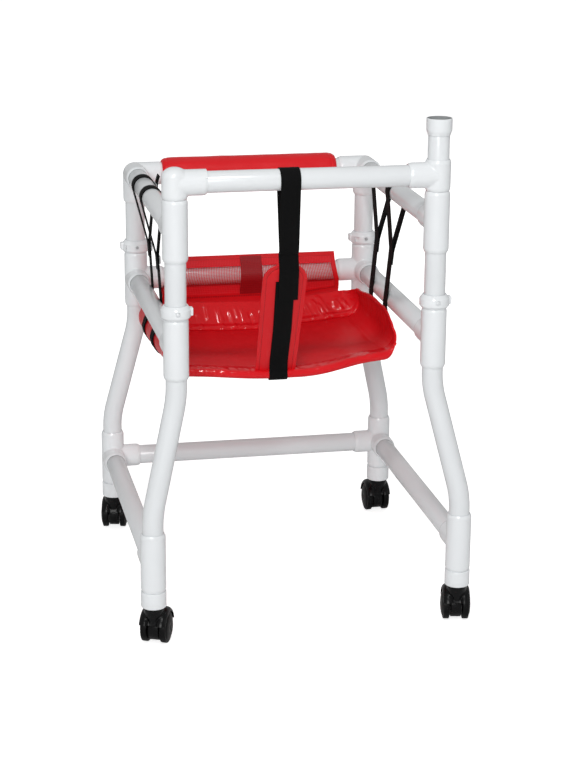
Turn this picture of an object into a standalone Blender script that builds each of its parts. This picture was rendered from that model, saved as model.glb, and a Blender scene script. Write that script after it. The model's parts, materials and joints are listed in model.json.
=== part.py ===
"""Pediatric walker: a frame of white furniture-grade pipe on four twin-wheel swivel casters.

The lower frame carries the seat and rolls on the casters. The upper frame slides up and down in the lower
tees on four uprights, and a sprung pin in each collar locks it. Metres, +Z up, -Y is the front.
The origin is the middle of the footprint, on the floor.
"""

import math

import bmesh
import bpy
from mathutils import Vector

# Overall layout, between the axes of the pipes
frame_width = 0.410
frame_depth = 0.470
leg_splay_x = 0.0435
leg_splay_y = 0.0285
lower_rail_above_base_rail = 0.337
upper_rail_above_lower_rail = 0.1855
mast_above_front_rail = 0.088

# Pipe and fittings
pipe_radius = 0.0167
pipe_wall = 0.0034
pipe_sides = 14
fit_gap = 0.0003
fitting_wall = 0.0030
fitting_chamfer = 0.0012
tee_half_length = 0.0480
hub_reach = 0.0480
slip_tee_half_length = 0.0245
elbow_dome_rise = 0.0215
rail_end_from_axis = 0.0190
socket_depth = 0.0270

# Height adjustment
height_travel_down = 0.0250
collar_height = 0.0215
collar_radius = 0.0236
collar_chamfer = 0.0040
collar_lug_reach = 0.0030
collar_lug_width = 0.0120
collar_lug_height = 0.0120
pin_head_radius = 0.0034
pin_head_depth = 0.0024
pin_head_proud = 0.0010
pin_shank_radius = 0.0022
pin_gap = 0.0003
pin_sides = 10

# Mast socket
mast_socket_height = 0.0260
mast_socket_taper = 0.0085
mast_socket_depth = 0.0130

# Legs
leg_bend_radius = 0.150
leg_bend_below_tee = 0.010
leg_bend_above_tee = 0.008
leg_arc_steps = 3
leg_in_base_tee = 0.0270

# Casters
wheel_radius = 0.0250
wheel_tread_width = 0.0080
wheel_dome = 0.0065
wheel_bore_depth = 0.0100
wheel_sides = 18
wheel_slot = 0.0020
caster_web_width = 0.0170
caster_web_clearance = 0.0035
caster_trail = 0.0140
caster_height = 0.0645
hood_gap = 0.0015
hood_thickness = 0.0070
hood_half_width = 0.0232
hood_front_height = 0.0370
hood_slope_degrees = 6.0
hood_sides = 22
neck_radius = 0.0172
neck_tip_radius = 0.0070
neck_tip_height = 0.0300
axle_radius = 0.0030
stem_radius = 0.0055
stem_sides = 12
swivel_gap = 0.0005
caster_yaw_degrees = {"front_left": -24.0, "front_right": -11.0, "rear_left": -12.0, "rear_right": 1.0}

# Plugs with flanges, pressed into the base tees for the casters' stems
plug_flange_radius = 0.0202
plug_flange_height = 0.0267
plug_edge_round = 0.0028
plug_spigot_height = 0.0250
stem_in_plug = 0.0430

# Padded sleeve and mesh sleeve
sleeve_end_gap = 0.0015
pad_thickness = 0.0113
pad_end_bevel = 0.0050
mesh_thickness = 0.0012
mesh_above_rail = 0.0340
mesh_below_rail = 0.0390
mesh_gap = 0.0008

# Seat sling
sling_thickness = 0.0040
seat_above_base_rail = 0.2560
seat_half_width = 0.190
seat_corner_radius = 0.042
seat_sag = 0.006
seat_front = -0.092
seat_rear = 0.196
lip_radius = 0.0065
lip_turn_degrees = 150.0
flap_lean_degrees = 20.0
flap_height = 0.069
flap_rear_drop = 0.016
flap_front_drop = 0.038
flap_front_steepness = 4
flap_peak_y = 0.070
wall_corner_inset = 0.0055
wall_corner_depth = 0.0310
wall_gap_below_mesh = 0.0005
wall_fold_depth = 0.0026
wall_folds = 9
tongue_width = 0.067
tongue_thickness = 0.0050
tongue_x = -0.0315
tongue_lean = 0.055
tongue_top_y = -0.215
tongue_top_above_seat = 0.204

# Webbing
webbing_thickness = 0.0016
webbing_gap = 0.0005
front_strap_x = -0.0304
front_strap_lean = 0.040
front_strap_width = 0.0315
front_strap_joint_below_rail = 0.113
front_strap_overlap = 0.060
tongue_strap_rear = 0.140
side_strap_width = 0.0250
front_side_strap_y = 0.0125
rear_side_strap_y = 0.1100
side_strap_slant = -0.050
side_strap_joint_below_rail = 0.098
side_strap_joint_inset = 0.0080
side_strap_overlap = 0.022
side_strap_rise = 0.073

# Colours, each as red, green and blue
pvc_white = (0.80, 0.82, 0.83)
pin_grey = (0.42, 0.43, 0.44)
nylon_black = (0.012, 0.012, 0.013)
vinyl_red = (0.56, 0.012, 0.020)
mesh_red = (0.42, 0.012, 0.020)
webbing_black = (0.010, 0.010, 0.011)

# Heights that follow from the sizes above
bore_radius = pipe_radius + fit_gap
fitting_radius = bore_radius + fitting_wall
half_width = frame_width / 2
half_depth = frame_depth / 2
base_half_width = half_width + leg_splay_x
base_half_depth = half_depth + leg_splay_y
plug_bottom = caster_height + swivel_gap
base_tee_bottom = plug_bottom + plug_flange_height + fit_gap
base_rail_height = base_tee_bottom + tee_half_length
lower_rail_height = base_rail_height + lower_rail_above_base_rail
upper_rail_height = lower_rail_height + upper_rail_above_lower_rail
front_rail_height = upper_rail_height + tee_half_length + fit_gap + slip_tee_half_length
mast_top = front_rail_height + mast_above_front_rail
collar_bottom = lower_rail_height + tee_half_length + fit_gap
leg_top = lower_rail_height - tee_half_length + socket_depth
leg_bottom = base_rail_height + tee_half_length - leg_in_base_tee
upright_bottom = leg_top + fit_gap + height_travel_down
seat_height = base_rail_height + seat_above_base_rail

# Widths that follow from the sizes above
sleeve_half_length = half_width - hub_reach - sleeve_end_gap
wall_corner_half_width = seat_half_width - wall_corner_inset

corners = {
    "front_left": (-1, -1),
    "front_right": (1, -1),
    "rear_left": (-1, 1),
    "rear_right": (1, 1),
}
up = Vector((0, 0, 1))
along_x = Vector((1, 0, 0))
along_y = Vector((0, 1, 0))


def clear_scene():
    for obj in list(bpy.data.objects):
        bpy.data.objects.remove(obj, do_unlink=True)


def new_collection(name):
    collection = bpy.data.collections.new(name)
    bpy.context.scene.collection.children.link(collection)
    return collection


def plain_material(name, colour, roughness, metallic=0.0):
    material = bpy.data.materials.new(name)
    material.use_nodes = True
    shader = material.node_tree.nodes["Principled BSDF"]
    shader.inputs["Base Color"].default_value = (*colour, 1.0)
    shader.inputs["Roughness"].default_value = roughness
    shader.inputs["Metallic"].default_value = metallic
    return material


def add_object(name, mesh, material):
    """A part of the walker with its own material, or a cutter where no material is given."""
    obj = bpy.data.objects.new(name, mesh)
    if material is None:
        cutters.objects.link(obj)
        obj.hide_render = True
        obj.display_type = "WIRE"
    else:
        walker.objects.link(obj)
        obj.data.materials.append(material)
    return obj


def place(obj, location, direction=up):
    """Puts the object's own +Z along a direction, at a place."""
    obj.location = location
    obj.rotation_euler = Vector(direction).to_track_quat("Z", "Y").to_euler()
    return obj


def turned(name, outline, material, location, direction=up, sides=pipe_sides):
    """A solid turned about its own Z. The outline is (radius, height) pairs, from the top down its outer side."""
    mesh = bpy.data.meshes.new(name)
    points = [(radius, 0.0, height) for radius, height in outline]
    edges = [(i, i + 1) for i in range(len(points) - 1)]
    if outline[0][0] > 0 or outline[-1][0] > 0:
        edges.append((len(points) - 1, 0))
    mesh.from_pydata(points, edges, [])
    obj = add_object(name, mesh, material)
    screw = obj.modifiers.new("Turn", "SCREW")
    screw.axis = "Z"
    screw.angle = 2 * math.pi
    screw.steps = sides
    screw.render_steps = sides
    screw.use_merge_vertices = True
    screw.merge_threshold = 0.00001
    screw.use_smooth_shade = True
    return place(obj, location, direction)


def boolean(obj, other, operation):
    modifier = obj.modifiers.new(operation.title(), "BOOLEAN")
    modifier.operation = operation
    modifier.solver = "EXACT"
    modifier.object = other


def cylinder(name, radius, start, end, sides=pipe_sides):
    """A plain round helper from one point to another."""
    start = Vector(start)
    end = Vector(end)
    length = (end - start).length
    outline = [(0, length), (radius, length), (radius, 0), (0, 0)]
    return turned(name, outline, None, start, end - start, sides)


def box(name, size, centre, tilt=0.0):
    """A plain box helper, tilted about X."""
    mesh = bpy.data.meshes.new(name)
    shape = bmesh.new()
    bmesh.ops.create_cube(shape, size=1.0)
    bmesh.ops.scale(shape, vec=size, verts=shape.verts)
    shape.to_mesh(mesh)
    shape.free()
    obj = add_object(name, mesh, None)
    obj.location = centre
    obj.rotation_euler = (tilt, 0, 0)
    return obj


def final_mesh(obj):
    """The object's shape with its modifiers applied, in world coordinates."""
    bpy.context.view_layer.update()
    graph = bpy.context.evaluated_depsgraph_get()
    mesh = bpy.data.meshes.new_from_object(obj.evaluated_get(graph))
    mesh.transform(obj.matrix_world)
    return mesh


def pipe(name, start, end, material):
    """A straight pipe from one point to another."""
    start = Vector(start)
    end = Vector(end)
    length = (end - start).length
    inner = pipe_radius - pipe_wall
    outline = [(pipe_radius, length), (pipe_radius, 0), (inner, 0), (inner, length)]
    return turned(name, outline, material, start, end - start)


def hub_outline(low, high):
    """The outside of a hub from low to high, with both ends chamfered."""
    return [
        (0, high),
        (fitting_radius - fitting_chamfer, high),
        (fitting_radius, high - fitting_chamfer),
        (fitting_radius, low + fitting_chamfer),
        (fitting_radius - fitting_chamfer, low),
        (0, low),
    ]


def branch_outline(reach):
    """The outside of a side hub, from the fitting's centre out to its chamfered end."""
    rim = (fitting_radius - fitting_chamfer, reach)
    return [(0, reach), rim, (fitting_radius, reach - fitting_chamfer), (fitting_radius, 0), (0, 0)]


def add_branches(fitting, centre, directions):
    """Joins a side hub in each direction to the fitting."""
    for direction in directions:
        hub = turned(fitting.name + "_hub", branch_outline(hub_reach), None, centre, direction)
        boolean(fitting, hub, "UNION")


def bore(fitting, start, end):
    boolean(fitting, cylinder(fitting.name + "_bore", bore_radius, start, end), "DIFFERENCE")


def tee(name, centre, half_length, directions, material):
    """A fitting that the upright passes through, with a hub for each rail that meets it."""
    centre = Vector(centre)
    fitting = turned(name, hub_outline(-half_length, half_length), material, centre)
    add_branches(fitting, centre, directions)
    past = Vector((0, 0, half_length + fitting_wall))
    bore(fitting, centre - past, centre + past)
    for direction in directions:
        bore(fitting, centre, centre + direction * (hub_reach + fitting_wall))
    return fitting


def domed_elbow(name, centre, direction, material):
    """The front corner elbow: an upright hub with a domed top, and one side hub."""
    centre = Vector(centre)
    dome_start = 0.010
    dome = [
        (fitting_radius * math.sin(turn), dome_start + (elbow_dome_rise - dome_start) * math.cos(turn))
        for turn in (math.radians(step) for step in (0, 30, 60, 90))
    ]
    low = -slip_tee_half_length
    foot = [(fitting_radius, low + fitting_chamfer), (fitting_radius - fitting_chamfer, low), (0, low)]
    fitting = turned(name, dome + foot, material, centre)
    add_branches(fitting, centre, [direction])
    bore(fitting, centre - up * (slip_tee_half_length + fitting_wall), centre)
    bore(fitting, centre, centre + direction * (hub_reach + fitting_wall))
    return fitting


def side_outlet_elbow(name, centre, directions, material):
    """A rear corner elbow: three hubs that meet in a ball, one of them down to the upright."""
    centre = Vector(centre)
    ball = [
        (fitting_radius * math.sin(turn), fitting_radius * math.cos(turn))
        for turn in (math.radians(step) for step in (0, 30, 60))
    ]
    foot = [(fitting_radius, 0), (fitting_radius, fitting_chamfer - hub_reach)]
    foot += [(fitting_radius - fitting_chamfer, -hub_reach), (0, -hub_reach)]
    fitting = turned(name, ball + foot, material, centre)
    add_branches(fitting, centre, directions)
    bore(fitting, centre - up * (hub_reach + fitting_wall), centre)
    for direction in directions:
        bore(fitting, centre, centre + direction * (hub_reach + fitting_wall))
    return fitting


def leg_route(side, end):
    """Points down the middle of a bent leg: straight, an arc, straight, the arc back, straight."""
    bend_top = lower_rail_height - tee_half_length - leg_bend_below_tee
    bend_bottom = base_rail_height + tee_half_length + leg_bend_above_tee
    rise = bend_top - bend_bottom
    shift = math.hypot(leg_splay_x, leg_splay_y)
    across = 2 * leg_bend_radius - shift
    slant = math.atan2(rise, across) - math.acos(2 * leg_bend_radius / math.hypot(rise, across))
    outward = Vector((side * leg_splay_x, end * leg_splay_y, 0)) / shift
    top = Vector((side * half_width, end * half_depth, 0))
    bottom = Vector((side * base_half_width, end * base_half_depth, 0))
    route = [top + up * leg_top]
    for step in range(leg_arc_steps + 1):
        turn = slant * step / leg_arc_steps
        out = leg_bend_radius * (1 - math.cos(turn))
        route.append(top + outward * out + up * (bend_top - leg_bend_radius * math.sin(turn)))
    for step in range(leg_arc_steps, -1, -1):
        turn = slant * step / leg_arc_steps
        out = leg_bend_radius * (1 - math.cos(turn))
        route.append(bottom - outward * out + up * (bend_bottom + leg_bend_radius * math.sin(turn)))
    route.append(bottom + up * leg_bottom)
    return route


def ring_guide(name):
    """The pipe's round outline, for sweeping along a leg."""
    ring = bpy.data.curves.new(name, "CURVE")
    ring.dimensions = "2D"
    ring.fill_mode = "NONE"
    spline = ring.splines.new("POLY")
    spline.points.add(pipe_sides - 1)
    spline.use_cyclic_u = True
    for index, point in enumerate(spline.points):
        turn = -2 * math.pi * index / pipe_sides
        point.co = (pipe_radius * math.cos(turn), pipe_radius * math.sin(turn), 0, 1)
    guide = bpy.data.objects.new(name, ring)
    cutters.objects.link(guide)
    guide.hide_render = True
    return guide


def leg(name, side, end, material):
    """A leg of pipe, bent twice so that the foot stands outside the upright."""
    curve = bpy.data.curves.new(name + "_path", "CURVE")
    curve.dimensions = "3D"
    route = leg_route(side, end)
    spline = curve.splines.new("POLY")
    spline.points.add(len(route) - 1)
    for point, place_of_point in zip(spline.points, route):
        point.co = (*place_of_point, 1.0)
    curve.bevel_mode = "OBJECT"
    curve.bevel_object = ring_guide(name + "_ring")
    path = bpy.data.objects.new(name + "_path", curve)
    cutters.objects.link(path)
    obj = add_object(name, final_mesh(path), material)
    bpy.data.objects.remove(path)
    wall = obj.modifiers.new("Wall", "SOLIDIFY")
    wall.thickness = pipe_wall
    wall.offset = -1.0
    obj.data.shade_smooth()
    return obj


def locking_collar(name, side, end, material):
    """A locking collar round an upright, with a lug at one side and the pin's hole at the front."""
    centre = Vector((side * half_width, end * half_depth, collar_bottom))
    outline = [
        (bore_radius, collar_height),
        (bore_radius + fitting_wall / 2, collar_height),
        (collar_radius, collar_height - 1.8 * collar_chamfer),
        (collar_radius, collar_chamfer),
        (fitting_radius + pin_gap, 0),
        (bore_radius, 0),
    ]
    collar = turned("collar_" + name, outline, material, centre)
    lug_side = -end
    reach = collar_radius + collar_lug_reach
    inner = bore_radius + fitting_wall / 2
    middle = centre + along_x * (lug_side * (reach + inner) / 2) + up * (collar_height / 2)
    lug = box("collar_lug", (reach - inner, collar_lug_width, collar_lug_height), middle)
    edges = lug.modifiers.new("Edges", "BEVEL")
    edges.width = collar_lug_reach / 2
    edges.segments = 1
    boolean(collar, lug, "UNION")
    axis = centre + up * (collar_height / 2)
    head_floor = collar_radius + pin_head_proud - pin_head_depth - pin_gap
    outside = axis - along_y * 2 * collar_radius
    shank = cylinder("collar_pin_hole", pin_shank_radius + pin_gap, axis, outside, pin_sides)
    floor = axis - along_y * head_floor
    recess = cylinder("collar_pin_recess", pin_head_radius + pin_gap, floor, outside, pin_sides)
    boolean(collar, shank, "DIFFERENCE")
    boolean(collar, recess, "DIFFERENCE")
    return collar


def snap_pin(name, side, end, material):
    """A sprung pin: its tip stops just short of the upright, and its head stands proud of the collar."""
    axis = Vector((side * half_width, end * half_depth, collar_bottom + collar_height / 2))
    tip = pipe_radius + fit_gap
    head_top = collar_radius + pin_head_proud
    head_floor = head_top - pin_head_depth
    outline = [
        (0, head_top),
        (pin_head_radius * 0.7, head_top),
        (pin_head_radius, head_top - pin_head_proud / 2),
        (pin_head_radius, head_floor),
        (pin_shank_radius, head_floor),
        (pin_shank_radius, tip),
        (0, tip),
    ]
    return turned(name, outline, material, axis, -along_y, pin_sides)


def add_plug(base_tee, foot):
    """The flanged plug pressed into a base tee's lower end, with a blind hole for a caster's stem."""
    top = plug_flange_height + fit_gap + plug_spigot_height
    spigot = bore_radius + fitting_wall / 2
    outline = [
        (0, top),
        (spigot, top),
        (spigot, plug_flange_height),
        (plug_flange_radius, plug_flange_height),
        (plug_flange_radius, plug_edge_round),
        (plug_flange_radius - plug_edge_round, 0),
        (0, 0),
    ]
    place_of_plug = foot + up * plug_bottom
    plug = turned(base_tee.name + "_plug", outline, None, place_of_plug)
    boolean(base_tee, plug, "UNION")
    start = place_of_plug - up * fitting_wall
    end = place_of_plug + up * (stem_in_plug + fitting_wall)
    hole = cylinder(base_tee.name + "_hole", stem_radius + fit_gap, start, end, stem_sides)
    boolean(base_tee, hole, "DIFFERENCE")


def caster_empty(name, side, end):
    """The swivel axis. The caster's pieces are its children, so they turn with it."""
    empty = bpy.data.objects.new("swivel_" + name, None)
    walker.objects.link(empty)
    empty.location = (side * base_half_width, end * base_half_depth, 0)
    empty.rotation_euler = (0, 0, math.radians(caster_yaw_degrees[name]))
    return empty


def caster_body(name, swivel, material):
    """The hood with its neck and stem, the web between the wheels, and the axle pressed through the web."""
    axle = Vector((0, caster_trail, wheel_radius))
    pocket_radius = wheel_radius + hood_gap
    hood_radius = pocket_radius + hood_thickness
    half = hood_half_width
    barrel = [
        (0, half),
        (pocket_radius, half),
        (pocket_radius + 0.60 * hood_thickness, 0.90 * half),
        (hood_radius, 0.52 * half),
    ]
    outline = barrel + [(radius, -height) for radius, height in reversed(barrel)]
    body = turned("caster_body_" + name, outline, material, axle, along_x, hood_sides)
    size = 4 * hood_radius
    slope = math.radians(hood_slope_degrees)
    below = Vector((0, caster_trail - hood_radius, hood_front_height))
    below += Vector((0, math.cos(slope) * size / 4, -math.sin(slope) * size / 4))
    below -= Vector((0, math.sin(slope), math.cos(slope))) * size / 2
    helpers = [box("hood_cut", (size, size, size), below, -slope)]
    boolean(body, helpers[-1], "DIFFERENCE")
    neck = [
        (0, caster_height),
        (neck_radius, caster_height),
        (neck_tip_radius, neck_tip_height),
        (0, neck_tip_height),
    ]
    helpers.append(turned("neck", neck, None, (0, 0, 0)))
    boolean(body, helpers[-1], "UNION")
    for side in (-1, 1):
        inner = axle + along_x * (side * caster_web_width / 2)
        outer = axle + along_x * (side * 2 * hood_half_width)
        helpers.append(cylinder("wheel_pocket", pocket_radius, inner, outer, hood_sides))
        boolean(body, helpers[-1], "DIFFERENCE")
    web_half = caster_web_width / 2 - fit_gap
    web_radius = wheel_radius - caster_web_clearance
    helpers.append(cylinder("web", web_radius, axle - along_x * web_half, axle + along_x * web_half, hood_sides))
    boolean(body, helpers[-1], "UNION")
    reach = caster_web_width / 2 + wheel_slot + wheel_bore_depth - fit_gap
    helpers.append(cylinder("axle", axle_radius, axle - along_x * reach, axle + along_x * reach, 10))
    boolean(body, helpers[-1], "UNION")
    stem_top = (0, 0, plug_bottom + stem_in_plug)
    helpers.append(cylinder("stem", stem_radius, (0, 0, caster_height - fitting_wall), stem_top, stem_sides))
    boolean(body, helpers[-1], "UNION")
    for obj in [body] + helpers:
        obj.parent = swivel
    return body


def caster_wheel(name, side, swivel, material):
    """One wheel with a domed outer face, blind-bored for the axle."""
    inner = caster_web_width / 2 + wheel_slot
    tread_end = inner + wheel_tread_width
    corner = wheel_radius / math.cos(math.pi / wheel_sides)
    hole = axle_radius + fit_gap
    outline = [
        (0, tread_end + wheel_dome),
        (0.40 * corner, tread_end + wheel_dome),
        (0.80 * corner, tread_end + 0.65 * wheel_dome),
        (corner, tread_end),
        (corner, inner),
        (hole, inner),
        (hole, inner + wheel_bore_depth),
        (0, inner + wheel_bore_depth),
    ]
    axle = Vector((0, caster_trail, wheel_radius))
    wheel = turned("caster_wheel_" + name, outline, material, axle, along_x * side, wheel_sides)
    wheel.parent = swivel
    return wheel


def padded_sleeve(material):
    """The padded vinyl sleeve on the rear top rail: crowned, with bevelled ends."""
    inner = pipe_radius + webbing_gap
    outer = pipe_radius + pad_thickness
    half = sleeve_half_length
    outline = [
        (inner, half),
        (inner + pad_thickness / 3, half),
        (outer - pad_thickness / 5, half - 0.6 * pad_end_bevel),
        (outer, half - 2.4 * pad_end_bevel),
        (outer, 2.4 * pad_end_bevel - half),
        (outer - pad_thickness / 5, 0.6 * pad_end_bevel - half),
        (inner + pad_thickness / 3, -half),
        (inner, -half),
    ]
    return turned("back_pad", outline, material, (0, half_depth, upper_rail_height), along_x)


def extruded(name, outlines, half_thickness, material, location, turn):
    """A flat outline, given as closed loops of points, pulled out to both sides."""
    curve = bpy.data.curves.new(name, "CURVE")
    curve.dimensions = "2D"
    curve.fill_mode = "BOTH"
    curve.extrude = half_thickness
    for outline in outlines:
        spline = curve.splines.new("POLY")
        spline.points.add(len(outline) - 1)
        for point, (across, height) in zip(spline.points, outline):
            point.co = (across, height, 0.0, 1.0)
        spline.use_cyclic_u = True
    guide = bpy.data.objects.new(name, curve)
    cutters.objects.link(guide)
    guide.location = location
    guide.rotation_euler = turn
    mesh = final_mesh(guide)
    bpy.data.objects.remove(guide)
    shape = bmesh.new()
    shape.from_mesh(mesh)
    bmesh.ops.remove_doubles(shape, verts=shape.verts, dist=0.00001)
    bmesh.ops.recalc_face_normals(shape, faces=shape.faces)
    shape.to_mesh(mesh)
    shape.free()
    return add_object(name, mesh, material)


facing_x = (math.pi / 2, 0, math.pi / 2)
facing_y = (math.pi / 2, 0, 0)


def sleeve_outline(radius, above, below):
    """A loop that hugs the front and back of a rail and comes to an edge above and below it."""
    right = [(0, above), (0.45 * radius, 0.62 * above + 0.38 * radius)]
    right += [(radius * math.cos(turn), radius * math.sin(turn)) for turn in (0.55, 0.1, -0.35, -0.8)]
    right += [(0.30 * radius, -0.70 * below), (0, -below)]
    left = [(-across, height) for across, height in reversed(right[1:-1])]
    return right + left


def mesh_sleeve(material):
    """The mesh sleeve on the rear lower rail, two layers deep above and below the pipe."""
    inner = pipe_radius + mesh_gap
    outer = inner + mesh_thickness
    edge = 3 * mesh_thickness
    outlines = [
        sleeve_outline(outer, mesh_above_rail, mesh_below_rail),
        sleeve_outline(inner, mesh_above_rail - edge, mesh_below_rail - edge),
    ]
    centre = (0, half_depth, lower_rail_height)
    return extruded("back_mesh", outlines, sleeve_half_length, material, centre, facing_x)


def smooth_step(value):
    value = min(1.0, max(0.0, value))
    return value * value * (3 - 2 * value)


def flap_top(y):
    """How far the side flap's edge stands above the seat at y. Its front end falls steeply."""
    rear = smooth_step((y - flap_peak_y) / (seat_rear - flap_peak_y))
    front = smooth_step((flap_peak_y - y) / (flap_peak_y - seat_front)) ** flap_front_steepness
    return flap_height - flap_rear_drop * rear - flap_front_drop * front


def seat_line(along, offset=0.0):
    """A point of the right half of the seat's cross-section, pushed out and down by an offset.

    It runs across the flat, round the corner and up the flap, which leans in.
    """
    flat = seat_half_width - seat_corner_radius
    lean = math.radians(flap_lean_degrees)
    arc = seat_corner_radius * (math.pi / 2 + lean)
    if along <= flat:
        return along, -seat_sag * (1 - (along / flat) ** 2) - offset
    turn = min(along - flat, arc) / seat_corner_radius
    radius = seat_corner_radius + offset
    past = max(along - flat - arc, 0.0)
    across = flat + radius * math.sin(turn) + past * math.cos(turn)
    return across, seat_corner_radius - radius * math.cos(turn) + past * math.sin(turn)


def flap_length(height):
    """How far along the seat's cross-section the flap's edge is, for an edge at this height above the seat."""
    flat = seat_half_width - seat_corner_radius
    lean = math.radians(flap_lean_degrees)
    corner_top = seat_corner_radius * (1 + math.sin(lean))
    if height >= corner_top:
        return flat + seat_corner_radius * (math.pi / 2 + lean) + (height - corner_top) / math.cos(lean)
    return flat + seat_corner_radius * math.acos(1 - height / seat_corner_radius)


def seat_section(share, y):
    """A point of the seat's cross-section: share runs from -1 at the left flap's edge to 1 at the right."""
    across, height = seat_line(abs(share) * flap_length(flap_top(y)))
    return math.copysign(across, share), height


def wall_point(share, height):
    """A point of the rear wall, at a height from 0 at the seat's fold to 1 at the wall's top edge.

    The wall is gathered into upright folds. At its sides it turns forward and meets the flaps.
    """
    flat = seat_half_width - seat_corner_radius
    edge = flap_length(flap_top(seat_rear))
    along = abs(share) * edge
    across, rise = seat_line(along)
    round_corner = max(0.0, (along - flat) / (edge - flat))
    turn = round_corner * math.pi / 2
    top = lower_rail_height - mesh_below_rail - wall_gap_below_mesh
    flap_edge = seat_height + flap_top(seat_rear)
    top_x = min(along, flat) + (wall_corner_half_width - flat) * math.sin(turn)
    top_y = half_depth - wall_corner_depth * (1 - math.cos(turn))
    top_z = top + 0.9 * (flap_edge - top) * smooth_step((round_corner - 0.25) / 0.75)
    fold = math.sin(wall_folds * math.pi * share) * wall_fold_depth * math.sin(math.pi * height)
    x = across + (top_x - across) * height
    y = seat_rear + (top_y - seat_rear) * height + fold * (1 - round_corner)
    z = seat_height + rise
    return math.copysign(x, share), y, z + (top_z - z) * height


def sling_sheet():
    """The sling from flap to flap: its rear wall, the seat, and its front edge rolled down and under."""
    columns = 28
    depth = seat_rear - seat_front
    rows = [("wall", 1 - step / 4) for step in range(4)]
    rows += [("seat", seat_rear - depth * step / 7) for step in range(8)]
    rows += [("lip", math.radians(lip_turn_degrees) * step / 3) for step in range(1, 4)]
    shape = bmesh.new()
    grid = []
    for kind, value in rows:
        line = []
        for column in range(columns + 1):
            share = 2 * column / columns - 1
            if kind == "wall":
                line.append(shape.verts.new(wall_point(share, value)))
                continue
            y = value if kind == "seat" else seat_front
            x, rise = seat_section(share, y)
            drop = 0.0
            if kind == "lip":
                y = seat_front - lip_radius * math.sin(value)
                drop = lip_radius * (1 - math.cos(value))
            line.append(shape.verts.new((x, y, seat_height + rise - drop)))
        grid.append(line)
    for one, two in zip(grid, grid[1:]):
        for column in range(columns):
            shape.faces.new((one[column], one[column + 1], two[column + 1], two[column]))
    return shape


def slanted(obj, moved, along, slope, level=0.0):
    """Shifts each point along one axis, in step with how far it is from a level along another."""
    for vertex in obj.data.vertices:
        vertex.co[moved] += slope * (vertex.co[along] - level)
    return obj


def sheet_object(name, shape, thickness, material):
    """An open sheet given its thickness."""
    mesh = bpy.data.meshes.new(name)
    shape.to_mesh(mesh)
    shape.free()
    obj = add_object(name, mesh, material)
    wall = obj.modifiers.new("Thickness", "SOLIDIFY")
    wall.thickness = thickness
    wall.offset = 0.0
    return obj


def tongue_outline():
    """The tongue seen square on: straight sides and a rounded top."""
    half = tongue_width / 2
    length = tongue_length()
    top = [
        (half * math.cos(turn), length - half + half * math.sin(turn))
        for turn in (math.radians(angle) for angle in range(0, 181, 20))
    ]
    return top + [(-half, 0), (half, 0)]


def tongue_start():
    return Vector((tongue_x, seat_front + 0.004, seat_height - seat_sag))


def tongue_length():
    top = Vector((tongue_x, tongue_top_y, seat_height + tongue_top_above_seat))
    return (top - tongue_start()).length


def tongue_slope():
    """The tongue's angle from upright, leaning to the front."""
    rise = seat_height + tongue_top_above_seat - tongue_start().z
    return math.atan2(tongue_start().y - tongue_top_y, rise)


def seat_sling(material):
    """The seat with its flaps, its rear wall and the tongue that comes up between the legs, sewn together."""
    seat = sheet_object("seat_sling", sling_sheet(), sling_thickness, material)
    turn = (math.pi / 2 + tongue_slope(), 0, 0)
    tongue = extruded("seat_tongue", [tongue_outline()], tongue_thickness / 2, None, tongue_start(), turn)
    slanted(tongue, 0, 2, -tongue_lean, seat_height + tongue_top_above_seat)
    boolean(seat, tongue, "UNION")
    return seat


def strap_sides(route, doubled):
    """The two sides of a strap seen edge on, along a list of points. Doubled stretches are two layers thick."""
    sides = ([], [])
    for index, point in enumerate(route):
        before = Vector(route[max(index - 1, 0)])
        after = Vector(route[min(index + 1, len(route) - 1)])
        ahead = (after - before).normalized()
        half = webbing_thickness if doubled[index] else webbing_thickness / 2
        across = Vector((-ahead.y, ahead.x)) * half
        sides[0].append(tuple(Vector(point) + across))
        sides[1].append(tuple(Vector(point) - across))
    return sides


def over_rail(centre, radius):
    """Points over the top of a rail, from its left side to its right."""
    turns = [math.radians(angle) for angle in range(200, -21, -20)]
    return [(centre[0] + radius * math.cos(turn), centre[1] + radius * math.sin(turn)) for turn in turns]


def eye(centre, joint):
    """The opening inside a strap's loop: round the rail, and down to where its two legs meet."""
    inner = over_rail(centre, pipe_radius + webbing_gap)
    return inner + [(joint[0], joint[1] + 3 * webbing_thickness)]


def strap(name, route, doubled, rails, width, x_or_y, material, turn):
    """A flat strap that loops over a rail at its start, and over a second one at its end if there are two."""
    one, two = strap_sides(route, doubled)
    outer = pipe_radius + webbing_gap + webbing_thickness
    outline = one + (over_rail(rails[1], outer) if len(rails) > 1 else []) + two[::-1]
    outline += over_rail(rails[0], outer)
    outlines = [outline, eye(rails[0], route[0])]
    if len(rails) > 1:
        outlines.append(eye(rails[1], route[-1]))
    return extruded(name, outlines, width / 2, material, x_or_y, turn)


def tongue_face(height, layers):
    """The y of a strap's middle where it lies on the tongue's front face, at a height."""
    start = tongue_start()
    slope = tongue_slope()
    lift = tongue_thickness / 2 + webbing_gap + layers * webbing_thickness / 2
    return start.y - (height - start.z) * math.tan(slope) - lift / math.cos(slope)


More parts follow.
